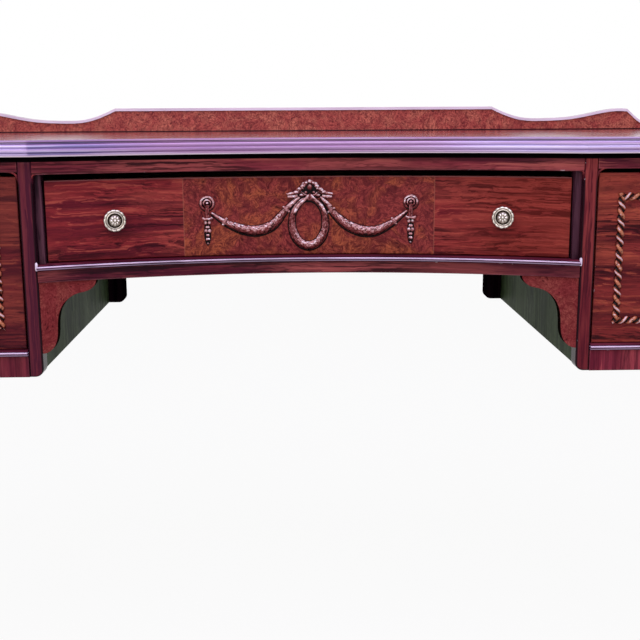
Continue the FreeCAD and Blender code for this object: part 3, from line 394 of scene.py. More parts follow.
def finish(base, roughness, height, gloss=0.12, coat=0.08, bump=0.04, metallic=0, reach=0.0006):
    """The surface itself, from the colours, roughness and height worked out before it."""
    raised = add(base.tree, "Bump", {"Strength": bump, "Distance": reach, "Height": height})
    shader = add(base.tree, "BsdfPrincipled", {
        "Base Color": base, "Roughness": roughness, "Metallic": metallic, "Normal": raised,
        "Specular IOR Level": gloss, "Coat Weight": coat, "Coat Roughness": 0.07,
    })
    add(base.tree, "OutputMaterial", {"Surface": shader})


def polished(place, wood, smooth, **surface):
    """A surface with plain hand polish."""
    rubbed_and_lit = use(polish, Place=place, Roughness=smooth)
    finish(wood, rubbed_and_lit["Roughness"], rubbed_and_lit["Height"], **surface)


print("grain can run along:", list(AXES))

# %% Colours of rosewood, and its worn edges
def rosewood_colour(place, tones, wave, fineness):
    """Colours of rosewood. Tones are the dark lines, the dark wood, the middle and the light wood."""
    line, dark, middle, light = tones.split()
    figure = use(rosewood, Place=place, Wave=wave, Fineness=fineness)
    patches = ramp(speckle(place, (5, 22, 22), 4), 0.42, 0.58)
    wood = lay(figure["Tone"], dark, middle)
    wood = paint(wood, (patches, 0.5, light), (figure["Streak"], 0.8, light))
    return paint(wood, (figure["Line"], 0.9, line), (figure["Pore"], 0.4, line)), figure


def edge_wear_and_shade(place, wood, tone, strength, chips=1):
    """Lays another colour on the softened corners, pale wear on some boards and painted shade on others, and
    pale chips where the polish broke off.
    """
    worn = use(wear, Place=place, Facing=add(place.tree, "NewGeometry", {}, "Normal"))
    return paint(wood, (worn["Corner"], strength, tone), (worn["Chip"], chips, "#e0ccd0"))


print("helpers ready: rosewood_colour and edge_wear_and_shade")

# %% What only some boards have
STILE_MIDDLE = 0.349


def plain_sides(wood):
    """Most boards have nothing more."""
    return wood


def shaded_sides(wood):
    """A front stile is purple towards the left one, and painted dark, as shade, from 5.8 mm off its middle,
    where it rounds.
    """
    place = object_place(wood.tree)
    x = part(place, 0)
    dark = ramp(abs(abs(x) - STILE_MIDDLE), 0.0058, 0.0076, 0, 0.9)
    wood = lay(ramp(x, 0.1, -0.1, 0, 0.65), wood, "#44182e")
    return paint(wood, (dark, ramp(part(place, 2), 0.722, 0.712), "#16050f"))


def plain_behind(wood):
    """A rear stile is painted black, as shade, where it faces the kneehole, and is plain wood behind."""
    return lay(ramp(facing(wood.tree, 1), 0.5, 0.9), wood, "#3c1618")


def darker_to_left(wood):
    """Towards the left, the wood turns a darker, more purple red."""
    return lay(ramp(part(object_place(wood.tree), 0), 0.2, -0.3, 0, 0.4), wood, "#3a1020")


print("front stiles, in mm from the middle:", round(STILE_MIDDLE * 1000))

# %% From figure to polished rosewood
NECK_LOW = 0.7412


def rosewood_finish(name, along, tones, wave, fineness, offset, edge=("#a05c62", 0.6), sides=plain_sides,
                    smooth=0.22, gloss=0.05, coat=0.05, veneer=False):
    """Polished rosewood whose edges are worn pale on some boards and painted dark, as shade, on others, with
    painted shade, near black, in the neck under the moulding.
    """
    tree = new_material(name)
    place = grain_place(tree, along, offset, veneer)
    wood, figure = rosewood_colour(place, tones, wave, fineness)
    # Painted shade: above the neck's foot, under the moulding, the wood is laid near black.
    neck = ramp(part(object_place(tree), 2), NECK_LOW, NECK_LOW + 0.0004)
    wood = lay(neck, sides(edge_wear_and_shade(place, wood, *edge)), "#060103")
    rubbed_and_lit = use(polish, Place=place, Roughness=smooth)
    dull = reckon("MAXIMUM", rubbed_and_lit["Roughness"], neck * 0.9)
    height = rubbed_and_lit["Height"] - figure["Pore"] * 0.3
    finish(wood, dull, height, gloss=gloss, coat=neck * -coat + coat)


# Above this height the neck is painted near black, as shade.
print("wax in the neck, in mm above the floor:", round(NECK_LOW * 1000, 1))

# %% Materials of solid and veneered rosewood: grain, tones, wave, fineness and place in the tree
RAIL_TONES = "#1e0510 #4e1426 #802e3a #ac5852"
STILE_TONES = "#420c1c #601a26 #863034 #9c4440"
rosewood_finish(
    "rail_rosewood", "x", RAIL_TONES, 0.004, 1.4, (1.35, 0.3, 0.45), ("#a05c62", 0.6, 0.7), veneer=True)
rosewood_finish("leg_rosewood", "z", RAIL_TONES, 0.003, 1, (0.7, 0.6, 0.1))
# The stiles' softened corners are painted dark, as shade.
rosewood_finish(
    "stile_rosewood", "z", STILE_TONES, 0.003, 1, (0.7, 0.2, 0.4), ("#1a0610", 0.85), shaded_sides,
    gloss=0.06, coat=0.03)
rosewood_finish(
    "jamb_rosewood", "z", "#0a0208 #200c18 #3a1c2c #643c4a", 0.003, 1, (0.4, 0.3, 0.4))
# Rear stiles are painted near black, edges too, as shade in the kneehole.
rosewood_finish(
    "rear_stile_rosewood", "z", "#040104 #0a0308 #12080e #1c0c14", 0.003, 1, (0.1, 0.9, 0.4),
    ("#0e060a", 0.4, 0), plain_behind, smooth=0.7, gloss=0, coat=0)
rosewood_finish(
    "crossbanded_rosewood", "z", "#30061a #641a2c #8a3040 #aa4a50", 0.002, 1.3, (2.7, 0.1, 0.9),
    sides=darker_to_left)
# The panels' olive green is a painted reflection of green surroundings over the dark wood.
rosewood_finish(
    "panel_rosewood", "z", "#1c2816 #2e3c24 #3e4e32 #4e5e40", 0.02, 0.6, (1.3, 0.5, 0.2), ("#2a2018", 0.5),
    smooth=0.5, gloss=0.03, coat=0)
rosewood_finish(
    "end_rosewood", "z", "#26070f #54181e #78292a #8e3a34", 0.02, 0.8, (1.3, 0.5, 0.2),
    smooth=0.35, gloss=0.04, coat=0)
rosewood_finish(
    "back_rosewood", "x", "#1c0c10 #341618 #4a2224 #5a2c2a", 0.02, 0.5, (4.1, 0.8, 0.3), gloss=0.1, coat=0)
rosewood_finish(
    "deep_drawer_rosewood", "x", "#26050f #5c1a20 #822d2c #aa503c", 0.008, 1.8, (0.3, 0.2, 0.15),
    ("#9a5458", 0.5, 0.6), darker_to_left)
# The fillets' curves are painted dark, as shade.
rosewood_finish(
    "fillet_rosewood", "z", STILE_TONES, 0.003, 1, (0, 0, 0), ("#3a0e1a", 0.7, 0))
print("rosewood finishes:", [name for name in materials if "rosewood" in name])

# %% [markdown]
# ## Burl veneers
# The gallery wears a small, tight burl, the brackets a looser one, and the top a broad one. The figure group
# is the same. Only its fineness and the colours change.

# %% Materials of burl
def burl_colour(place, fineness, tones):
    """Colours of burl. Tones are the eyes, the dark wood, the middle and the light wood."""
    eye, dark, middle, light = tones.split()
    figure = use(burl, Place=place, Fineness=fineness)
    wood = lay(figure["Cloud"] * 0.5, middle, light)
    wood = lay(figure["Curl"] * -0.7 + 0.7, wood, dark)
    return paint(wood, (figure["Swirl"], 0.5, dark), (figure["Fleck"], 0.4, dark), (figure["Eye"], 0.7, eye))


def burl_finish(name, fineness, tones, offset=(0, 0, 0), smooth=0.22, foot=None, cut=None, **surface):
    """Polished burl over the whole board. A foot is a height below which the board turns dark.

    A cut is the colour of sawn edges, the places that face neither the front nor the back."""
    tree = new_material(name)
    place = grain_place(tree, "x", offset)
    wood = edge_wear_and_shade(place, burl_colour(place, fineness, tones), "#7a3c44", 0.4, 0)
    if foot:
        wood = lay(ramp(part(object_place(tree), 2), foot, foot - 0.0006), wood, "#26060f")
    if cut:
        wood = lay(ramp(abs(facing(tree, 1)), 0.7, 0.3), wood, cut)
    polished(place, wood, smooth, **surface)


burl_finish("gallery_burl", 1.8, "#28060e #5a101e #c05c50 #e08c6e", foot=0.77)
burl_finish(
    "bracket_burl", 1.6, "#340c12 #601e22 #8a3a3a #a0584c", (0.3, 0.7, 0.1), 0.4, cut="#120c08",
    gloss=0, coat=0)
burl_finish(
    "top_burl", 0.7, "#300c12 #5c1a24 #983e46 #ba6460", (0.9, 0.3, 0.5), 0.12, bump=0.004, gloss=0.2)
print("burl finishes:", [name for name in materials if "burl" in name])

# %% [markdown]
# ## Front of the wide drawer
# One board, two veneers: rosewood at both ends, its lines lying down, and between them a burl plaque over
# the full height. It could be two boards, but it is one on the real desk, so a mask on its own place switches
# from one veneer to the other, with a hair of pale glue line at each joint.

# %% Material of the wide drawer's front
PLAQUE_HALF = 0.163
FRONT_TOP = 0.716
tree = new_material("wide_drawer_veneers")
place = grain_place(tree, "x", (6.9, 0, 0.23), veneer=True)
ends, _ = rosewood_colour(place, "#2a0612 #641a26 #8a2c30 #b05044", 0.01, 2.3)
plaque = burl_colour(place, 1.05, "#280a12 #4a121c #98403c #c87040")
x, _, z = (part(object_place(tree), axis) for axis in range(3))
ends = lay(ramp(x, 0.1, 0.3, 0, 0.4), ends, "#74200f")
wood = lay(reckon("LESS_THAN", abs(x), PLAQUE_HALF), ends, plaque)
joint = ramp(abs(abs(x) - PLAQUE_HALF), 0.0008, 0.0002)
# A pale line along the front's top edge is a painted highlight.
wood = paint(wood, (joint, 0.5, "#a0604e"), (ramp(z, FRONT_TOP, FRONT_TOP + 0.0008), 0.6, "#b07678"))
polished(place, wood, 0.2, gloss=0.04, coat=0.04)
print("plaque of burl, in mm:", round(2000 * PLAQUE_HALF))

# %% [markdown]
# ## Mouldings
# The edge of the top is run with four reeds. Their pale lilac is a painted reflection of the sky, with
# painted highlights on crests and painted shade in hollows, as on the gallery's bead and the ledges. All
# follow the height alone, because every reed is level, so a wave of the height paints them, and the soft
# lamp overhead does the rest.

# %% Wear on the reeds
TOP_LOW, REED_STEP = 0.748, 0.005
TOP_REED = TOP_LOW + 3 * REED_STEP + 0.0021


def painted_reed_light(wood):
    """Painted light on the reeds: the top reed keeps less of the painted reflection and is rosier, a sharp
    dark line of painted shade parts it from the others, and the lowest edge gets a pale painted highlight.

    Fine pale and dark streaks along the reeds are painted reflections. A blue painted reflection lies deep on
    the left part of the hollow run, pale on its right part and on the straight runs."""
    place = object_place(wood.tree)
    x, height = part(place, 0), part(place, 2)
    patches = ramp(speckle(place, (3, 3, 240)), 0.42, 0.55, 0.3, 1)
    deep = ramp(x, -0.16, -0.3) * ramp(x, -0.344, -0.338)
    pale = reckon("MAXIMUM", ramp(x, 0.12, 0.27), ramp(x, -0.338, -0.344))
    wood = paint(wood, (patches, deep * 0.9, "#7a76b4"), (patches, pale * 0.7, "#d0c8fc"))
    streaks = speckle(place, (2.6, 2.6, 640), 3)
    wood = lay(ramp(streaks, 0.53, 0.6, 0, 0.6), wood, "#ece2fc")
    wood = lay(ramp(streaks, 0.46, 0.38, 0, 0.5), wood, "#7e5c94")
    wood = lay(ramp(height, TOP_REED - 0.0002, TOP_REED + 0.0004, 0, 0.6), wood, "#8a5a7c")
    wood = lay(ramp(height, TOP_LOW + 0.002, TOP_LOW + 0.0008), wood, "#fff4fc")
    return lay(ramp(abs(height - TOP_REED), 0.0008, 0.0004, 0, 0.95), wood, "#2a1030")


print("the top reed, in mm above the floor:", round(TOP_REED * 1000, 1))

# %% Materials of the mouldings
def moulding_finish(name, along, tones, crest_mask, painted_light=plain_sides, gloss=0.1):
    """Glossy moulded rosewood. Tones are the hollows, dark and light, and the crests, whose tone is a painted
    highlight.

    Flat faces that look up keep the red of the wood."""
    tree = new_material(name)
    place = grain_place(tree, along, (1.1, 0.4, 0.2))
    dark, light, highlight_tone = tones.split()
    figure = use(rosewood, Place=place, Wave=0.002, Fineness=1)
    crest = crest_mask(part(object_place(tree), 2))
    rubbed_and_lit = ramp(speckle(place, (12, 60, 60), 4), 0.3, 0.62, 0.55, 1)
    wood = painted_light(lay(rubbed_and_lit * crest, lay(figure["Tone"], dark, light), highlight_tone))
    plain = lay(figure["Line"], lay(figure["Tone"], "#5a1e2c", "#7c3440"), "#2a0a14")
    wood = lay(ramp(facing(tree, 2), 0.86, 0.98, 0, 0.85), wood, plain)
    polished(place, wood, 0.16, gloss=gloss, coat=crest * 0.8, bump=0.02)


def reed_crests(height):
    """Half a wave over each reed: 1 on its crest and 0 in the hollows beside it."""
    return ramp(abs(reckon("SINE", (height - TOP_LOW) * (math.pi / REED_STEP))), 0.35, 0.95)


def ledge_highlights(low, high):
    """A ledge gets a narrow painted highlight over its middle, and a weaker one near its foot."""
    def crest(height):
        share = ramp(height, low, high)
        upper = ramp(share, 0.5, 0.58) * ramp(share, 0.9, 0.8)
        lower = ramp(share, 0.02, 0.08) * ramp(share, 0.3, 0.22, 0, 0.55)
        return reckon("MAXIMUM", upper, lower)
    return crest


# The reeds' lilac is a painted reflection of the sky, the bead's near white a painted highlight, and the
# ledges' dark tones painted shade under their noses, their pale one a painted highlight.
REED_TONES = "#b48cbc #c49ac8 #b48ab8"
LEDGE_TONES = "#2c0a20 #421630 #dcc4e0"
moulding_finish("reeded_edge", "x", REED_TONES, reed_crests, painted_reed_light)
moulding_finish("reeded_edge_ends", "y", REED_TONES, reed_crests, painted_reed_light)
moulding_finish("gallery_bead", "x", "#b09ab0 #ccbace #f2e6f4", lambda height: 0.8)
moulding_finish("wide_ledge", "x", LEDGE_TONES, ledge_highlights(0.6075, 0.6145), gloss=0)
moulding_finish("deep_ledges", "x", LEDGE_TONES, ledge_highlights(0.4985, 0.506), gloss=0)
print("moulding finishes: 5")

# %% [markdown]
# ## Plain woods inside
# Drawer sides, bottoms, runners and the boards under the pedestals are secondary wood, waxed but not
# polished. It shows when a drawer is open, so it has its own pale grain.

# %% Materials of the lining woods
def lining_finish(name, along, tones, offset=(0, 0, 0)):
    """Waxed, unpolished wood. Tones are the lines, the dark wood and the light wood."""
    tree = new_material(name)
    line, dark, light = tones.split()
    place = grain_place(tree, along, offset)
    figure = use(rosewood, Place=place, Wave=0.008, Fineness=0.7)
    wood = lay(figure["Tone"], dark, light)
    wood = paint(wood, (figure["Line"], 0.45, line), (figure["Pore"], 0.4, line))
    dust = ramp(speckle(place, (9, 9, 9), 4), 0.35, 0.7)
    finish(wood, dust * 0.2 + 0.5, figure["Tone"] - figure["Pore"], gloss=0.25, coat=0, bump=0.15)


LINING_TONES = "#5c3a22 #8c6440 #a88258"
lining_finish("lining_sides", "y", LINING_TONES)
lining_finish("lining_boards", "x", LINING_TONES, (2.2, 0.3, 0.8))
lining_finish("under_boards", "y", "#3a2418 #5c4030 #745440", (1.2, 0.6, 0.1))
print("lining finishes: 3")

# %% [markdown]
# ## Dress the boards
# Each board's name says what it is, so a table of words can give it its finish. It is shorter than a list of
# sixty names. The first word that is found decides, so special words stand before general ones.

# %% Give every board its finish
FINISHES = {
    "end_moulding": "reeded_edge_ends", "front_moulding": "reeded_edge", "gallery_cap": "gallery_bead",
    "ledge_centre": "wide_ledge", "ledge": "deep_ledges", "gallery_board": "gallery_burl",
    "spandrel": "bracket_burl", "top_panel": "top_burl", "centre_drawer_front": "wide_drawer_veneers",
    "drawer_front": "deep_drawer_rosewood", "_side": "lining_sides", "drawer_bottom": "lining_boards",
    "drawer_back": "lining_boards", "pedestal": "under_boards", "runners": "under_boards",
    "bottom_rail_left": "crossbanded_rosewood", "bottom_rail_right": "crossbanded_rosewood",
    "inner_panel": "panel_rosewood", "end_panel": "end_rosewood", "rear": "rear_stile_rosewood",
    "back_panel": "back_rosewood", "back_rail": "back_rosewood", "drawer_jambs": "jamb_rosewood",
    "leg": "leg_rosewood", "stile": "stile_rosewood", "": "rail_rosewood",
}
for name, board in boards.items():
    chosen = materials[next(look for word, look in FINISHES.items() if word in name)]
    if not board.material_slots:
        board.data.materials.append(chosen)
    for slot in board.material_slots:
        slot.material = chosen
print("boards dressed:", len(boards))

# %% [markdown]
# ## Helpers for new pieces
# Everything carved or cast is made of tubes: a stack of rings, each a closed line of points. A leaf, a
# ribbon, a strand of rope and a turned knob differ only in how the rings grow and move. They could be
# sculpted by hand, or swept with modifiers, but a formula on a grid is exact, quick and easy to change.

# %% From rings to a mesh
def skin(rings, loop=False, crest=0.5):
    """Points, faces and crests of a tube, from an array of rings, points round a ring, and three coordinates.

    Point j of ring i meets j + 1 beside it and ring i + 1 after it. A loop joins its last ring to its first.
    Any other tube gets one more point in the middle of each end ring, so that it is closed."""
    rows, around, _ = rings.shape
    i, j = np.meshgrid(np.arange(rows if loop else rows - 1), np.arange(around), indexing="ij")
    beside, after = (j + 1) % around, (i + 1) % rows
    quads = np.stack([i * around + j, i * around + beside, after * around + beside, after * around + j], -1)
    points, faces = rings.reshape(-1, 3), [quads.reshape(-1, 4)]
    crests = np.broadcast_to(crest, (rows, around)).reshape(-1)
    if not loop:
        j = np.arange(around)
        following, last = (j + 1) % around, (rows - 1) * around
        faces.append(np.stack([np.full(around, rows * around), following, j], -1))
        faces.append(np.stack([np.full(around, rows * around + 1), last + j, last + following], -1))
        points = np.concatenate([points, rings[[0, -1]].mean(1)])
        crests = np.concatenate([crests, crests[[0, -1]]])
    return points, faces, crests


def piece(name, skins, material, body, stands_for=None, smooth=True):
    """One object of several skins. Normals are turned outwards, and each point keeps its crest."""
    points, faces, crests, start = [], [], [], 0
    for own_points, own_faces, own_crests in skins:
        points.append(own_points)
        crests.append(own_crests)
        for group in own_faces:
            faces += (group + start).tolist()
        start += len(own_points)
    mesh = bpy.data.meshes.new(name)
    mesh.from_pydata(np.concatenate(points).tolist(), [], faces)
    shaped = bmesh.new()
    shaped.from_mesh(mesh)
    bmesh.ops.recalc_face_normals(shaped, faces=shaped.faces)
    shaped.to_mesh(mesh)
    shaped.free()
    carved = mesh.attributes.new("crest", "FLOAT", "POINT")
    carved.data.foreach_set("value", np.concatenate(crests).astype(np.float32))
    mesh.polygons.foreach_set("use_smooth", np.full(len(mesh.polygons), smooth))
    mesh.materials.append(materials[material])
    made = show(name, mesh)
    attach(made, body)
    if stands_for:
        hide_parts(stands_for)
    print(name, "faces:", len(mesh.polygons))


print("helpers ready: skin and piece")

# %% Curves and turned shapes
def smooth_path(points, count):
    """Evenly spaced places on a curve through the given points, and its length.

    Between b and c, with neighbours a and d, the place at share t of the way is
    (2b + (c - a) t + (2a - 5b + 4c - d) t t + (3b - a - 3c + d) t t t) / 2."""
    knots = np.asarray(points, float)
    held = np.vstack([2 * knots[0] - knots[1], knots, 2 * knots[-1] - knots[-2]])
    t = np.linspace(0, len(knots) - 1, 60 * len(knots))
    i = np.minimum(t.astype(int), len(knots) - 2)
    t = (t - i)[:, None]
    a, b, c, d = (held[i + k] for k in range(4))
    fine = (2 * b + (c - a) * t + (2 * a - 5 * b + 4 * c - d) * t ** 2 + (3 * b - a - 3 * c + d) * t ** 3) / 2
    run = np.concatenate([[0], np.cumsum(np.linalg.norm(np.diff(fine, axis=0), axis=1))])
    even = np.linspace(0, run[-1], count)
    return np.stack([np.interp(even, run, fine[:, k]) for k in range(knots.shape[1])], -1), run[-1]


def circle(around):
    """Evenly spaced turns, and their cosine and sine."""
    turn = np.linspace(0, 2 * np.pi, around, endpoint=False)
    return turn, np.cos(turn), np.sin(turn)


def turned(profile, foot, axis, around, swell=None):
    """Rings of a turned shape: a row of the profile starts with a distance from the axis and a way along it.

    swell(turn, distance, way) may change both, as carved petals do."""
    rows = np.asarray(profile, float)
    turn, cosine, sine = circle(around)
    axis = np.asarray(axis, float) / np.linalg.norm(axis)
    first = np.cross(axis, (0, 0, 1) if abs(axis[2]) < 0.9 else (1, 0, 0))
    first /= np.linalg.norm(first)
    second = np.cross(axis, first)
    far, way = (np.repeat(rows[:, k:k + 1], around, 1) for k in range(2))
    if swell:
        far, way = swell(turn[None], far, way)
    rings = far[..., None] * (cosine[:, None] * first + sine[:, None] * second) + way[..., None] * axis
    return np.asarray(foot, float) + rings


print("helpers ready: smooth_path, circle and turned")

# %% [markdown]
# ## Finish of the carvings
# Carved rosewood is painted darkest in its hollows and where it meets the face, as shade, and lightest on its
# crests and upper sides, as painted highlight. Every point of a carving keeps a number for that, its crest,
# so the material only has to read it. Above 1 it stands for painted silvery glints.

# %% Material of the carvings
def carved_height(tree):
    """The crest that each point of a carving keeps."""
    return add(tree, "Attribute", {}, "Fac", attribute_name="crest")


def carved_finish(name, tones, glint, sparse):
    """Colours from painted shade in the hollows to painted highlight on the crests, small dark flecks, and
    painted glints where the crest is high.

    The more sparse, the fewer glints."""
    tree = new_material(name)
    hollow, middle, highlight_tone = tones.split()
    place = grain_place(tree, "x", (3.1, 0.2, 0.7))
    grain = speckle(place, (300, 300, 300), 4)
    sparks = ramp(speckle(place, (210, 420, 420), 2), sparse, sparse + 0.06)
    high = carved_height(tree) + (grain * 0.9 - 0.45)
    wood = lay(ramp(high, 0.12, 0.5), hollow, middle)
    wood = lay(ramp(high, 0.5, 0.95), wood, highlight_tone)
    flecks = ramp(grain, 0.46, 0.38) * ramp(high, 1.2, 0.8)
    # Painted glints: scattered sparks on high crests, and the whole crest where it passes 1.25.
    bright = reckon("MAXIMUM", sparks * ramp(high, 0.7, 1), ramp(high, 1.25, 1.5))
    wood = paint(wood, (flecks, 0.7, hollow), (bright, 0.85, glint))
    rubbed_and_lit = use(polish, Place=place, Roughness=0.3)
    finish(wood, rubbed_and_lit["Roughness"], grain, gloss=0.1, coat=ramp(high, 0.5, 1, 0, 0.8), bump=0.3)


carved_finish("carved_laurel", "#0c0104 #783232 #c8908f", "#fcf0f8", 0.52)
carved_finish("carved_rope", "#0a0103 #6c2418 #bc6e4a", "#dcc2cc", 0.6)
print("carving finishes: 2")

# %% [markdown]
# ## The hollow face
# The wide drawer is bowed inwards, so its carving lies on part of a cylinder whose axis is in front of the
# desk. It is laid out flat, as on the carver's bench, with x across, z up and a third number for how far it
# stands out, and is then wrapped onto the face.

# %% Wrap flat work onto the hollow face
HOLLOW_RADIUS, HOLLOW_CENTRE = 0.947125, -1.136125
MM = 0.001
carving = []


def on_hollow(flat):
    """Place of flat work, given in mm as x, height above the foot of the top's edge, and out from the face.

    y = centre + sqrt(radius ** 2 - x ** 2), and out moves the point straight towards the axis."""
    x, up, out = np.moveaxis(flat * MM, -1, 0)
    keep = 1 - out / HOLLOW_RADIUS
    y = HOLLOW_CENTRE + np.sqrt(HOLLOW_RADIUS ** 2 - x ** 2) * keep
    return np.stack([x * keep, y, TOP_LOW + up], -1)


def carve(rings, crest, loop=False):
    """Adds one tube of flat work to the carving."""
    carving.append(skin(on_hollow(rings), loop, crest))


print("the face at the middle lies at y =", round(HOLLOW_CENTRE + HOLLOW_RADIUS, 4))

# %% Stems, and the painted shadow beside them
OUT = np.array([[0, 0, 1]])


def beside_path(path):
    """Unit vectors beside a flat path."""
    along = np.gradient(path, axis=0)
    along[:, 2] = 0
    along /= np.linalg.norm(along, axis=1, keepdims=True)
    return np.stack([-along[:, 1], along[:, 0], 0 * along[:, 0]], -1)


def sweep(path, wide, tall, beside, out=OUT):
    """Rings round a path. Each point lies its wide beside the path and its tall out from it."""
    return path[:, None] + wide[..., None] * beside[:, None] + tall[..., None] * out[:, None]


def stem(path, wide, tall):
    """Rings of a soft, oval stem round a flat path."""
    _, cosine, sine = circle(14)
    return sweep(path, wide[:, None] * cosine, tall[:, None] * sine, beside_path(path))


def painted_shadow_line(path, wide):
    """Rings of a dark painted shadow round a stem: 1.5 mm wider than it, 0.7 mm lower, and very thin."""
    return stem(path - (0, 0.7, 0.4), wide + 1.5, np.full(len(path), 0.35))


print("helpers ready: beside_path, sweep, stem and painted_shadow_line")

# %% Leaves and drops
def rubbed_and_lit(upward):
    """Painted light from above: sides that look up are painted lighter and undersides darker, 0.75 + 0.6
    times the upward share.
    """
    return np.clip(0.75 + 0.6 * upward, 0, None)


def leafy(path, wide, tall, way, pitch, depth):
    """Rings of a stem carved with laurel leaves, three of them over its face, that all point along the way.

    With s = way / pitch and f = |2 frac(3 turn / pi) - 1|, leaves meet where |sin(pi (s + 1.1 f))| is zero,
    but for a little unrest of the hand. Between the leaves and where the stem comes down to the face it is
    painted dark, as shade, and the sides that look up are painted lighter, as light from above."""
    turn, cosine, sine = circle(42)
    beside = beside_path(path)
    vein = np.abs(2 * ((3 * turn / np.pi) % 1) - 1)
    unrest = 0.16 * np.sin(way[:, None] * 1.3 + 2.1 * turn) + 0.12 * np.sin(way[:, None] * 0.47 - 3.3 * turn)
    leaf = np.abs(np.sin(np.pi * (way[:, None] / pitch + 1.1 * vein + unrest))) ** 0.6
    cut = depth[:, None] * (leaf - 0.75)
    share = np.clip(depth / 0.5, 0, 1)[:, None]
    crest = np.clip((sine - 0.05) / 0.4, 0, 1) * (1 - share * (1 - leaf) * 0.85)
    crest = crest * rubbed_and_lit(cosine * beside[:, 1:2])
    return sweep(path, (wide[:, None] + cut) * cosine, (tall[:, None] + cut) * sine, beside), crest


def ball(x, up, out, radii, crest=0.8):
    """A drop or a bead, with its three half sizes."""
    _, cosine, sine = circle(14)
    level = np.linspace(-0.98, 0.98, 9)[:, None]
    near = np.sqrt(1 - level ** 2)
    wide, tall, thick = radii
    height = out + thick * level + 0 * cosine
    rings = np.stack([x + wide * near * cosine, up + tall * near * sine, height], -1)
    # The crest is painted lower near the face, as shade, and higher on the upper side, as light from above.
    carve(rings, crest * np.clip(0.3 + 0.9 * (level + 0.3), 0, 1.3) * rubbed_and_lit(near * sine))


print("helpers ready: rubbed, leafy and ball")

# %% [markdown]
# ## Laurel wreath and swags
# A wreath and two swags of laurel are carved in relief on the plaque: fat horns of leaves laid like scales,
# smooth and thin where they leave their ribbons. The leaves run from both ends of a swag to its middle, and
# in the wreath from its foot up both sides. Two small ties with beaded ends hold each swag.

# %% Lay out the swags
SWAGS = (
    (((-128, -76.2), (-110, -88.6), (-91.4, -96.9), (-73.4, -100.6), (-57.8, -98.1), (-44.9, -90.6),
      (-34.2, -78), (-23.7, -65.9), (-15, -57.5)), (0.155, 0.84)),
    (((15, -58), (23.5, -67.3), (31.3, -77.5), (41.8, -88), (54.9, -96.6), (69.4, -101.7), (82.5, -102.3),
      (95.5, -98.6), (108.5, -91), (118.8, -83.1), (128, -75.4)), (0.16, 0.845)),
)
STEM_HEIGHT = 0.4


def swag_radius(share):
    """Thin at its ends and fattest in the middle: 1.2 + 5.4 sin(pi share) ** 1.2, in mm."""
    return 1.2 + 5.4 * np.sin(np.pi * np.clip(share, 0, 1)) ** 1.2


for points, ties in SWAGS:
    flat, length = smooth_path(points, 240)
    path = np.column_stack([flat, np.full(len(flat), STEM_HEIGHT)])
    share = np.linspace(0, 1, len(path))
    radius = swag_radius(share)
    way = length * np.minimum(share, 1 - share)
    carve(*leafy(path, radius, radius * 0.82, way, 8.6, 0.65 * np.clip((way - 16) / 14, 0, 1)))
    carve(painted_shadow_line(path, radius), 0)
    for at in (int(place * len(path)) for place in ties):
        swell = radius[at] + np.array([0.2, 1, 1.3, 1, 0.2])
        carve(stem(path[at - 4:at + 5:2], swell, swell), 0.7)
        for side in (-1, 1):
            x, up = path[at, :2] + side * (radius[at] + 1) * beside_path(path)[at, :2]
            ball(x, up, 1.6, (1.6, 1.6, 1.9), 0.95)
    print("swag of", round(length), "mm")

# %% Lay out the wreath
WREATH_MIDDLE, WREATH_WIDE, WREATH_TALL = (-0.7, -90.3), 22, 30.7
turn = np.linspace(-np.pi / 2, 1.5 * np.pi, 300, endpoint=False)
oval = np.column_stack([WREATH_MIDDLE[0] + WREATH_WIDE * np.cos(turn),
                        WREATH_MIDDLE[1] + WREATH_TALL * np.sin(turn), np.full(len(turn), STEM_HEIGHT)])
band = 4.25 - 1.5 * np.sin(turn) - 0.35 * np.sin(turn) ** 2
run = np.cumsum(np.linalg.norm(oval - np.roll(oval, 1, 0), axis=1))
run -= run[0]
depth = np.clip((0.55 - np.sin(turn)) / 0.4, 0, 1)
rings, crest = leafy(oval, band, band * 0.85, np.minimum(run, run[-1] - run), 7.2, depth)
# The wreath's crest, and so its painted highlight, grows towards its foot and fades towards its top.
carve(rings, crest * (0.92 - 0.16 * np.sin(turn))[:, None], loop=True)
carve(painted_shadow_line(oval, band), 0, loop=True)
print("with the wreath, skins:", len(carving))

# %% [markdown]
# ## Ribbon bow, rosettes and husks
# The wreath hangs from a ribbon tied in a bow. A ribbon is a flat strip that rolls as it goes, so its ring is
# a narrow oval that turns with the path. It falls in steps over hollows, laid as flat plates of painted
# shade, in which small drops hang, and ends in forked tails. Each swag ends at a rosette, turned rings with a
# strap over them, from which pairs of husks hang, smaller and smaller, over flat plates of painted shadow.

# %% Carve the bow
BOW_MIDDLE = 1
# The last number of a ribbon is how much painted highlight it gets beyond its crest.
BOW_RIBBONS = (
    (((0, -36, 4), (5, -39.2, 4.6), (9, -43.2, 3.6), (13.5, -47.2, 4.6), (18.5, -51, 3.4)),
     (4.4, 5.6, 5, 6.4, 4.4), 0.6, -0.2),
    (((17, -51.4, 2.6), (23, -52.4, 3.4), (30, -53.6, 2.6)), (3.4, 3.6, 3), 0.3, 0.3),
    (((16, -55.6, 2.4), (22, -56.8, 3.2), (29, -56.8, 2.4)), (3.4, 3.8, 3.2), 0.3, 0.5),
    (((0, -56.6, 3.6), (6.4, -54.4, 3), (12, -50.6, 2.6), (17, -52.6, 2.8)), (2.8, 2.2, 2, 2.4), 0, 0.1),
    (((1, -54.5, 4.4), (7.6, -61.4, 4.2), (15.5, -69, 4.2), (20.5, -78, 4.4)), (3, 3.8, 4.2, 3), 0, 0.5),
    (((13.5, -57.5, 3), (19.5, -62.4, 3.4), (27.5, -69.6, 3.4)), (2.6, 4.2, 4.4), 0, 0.5),
)
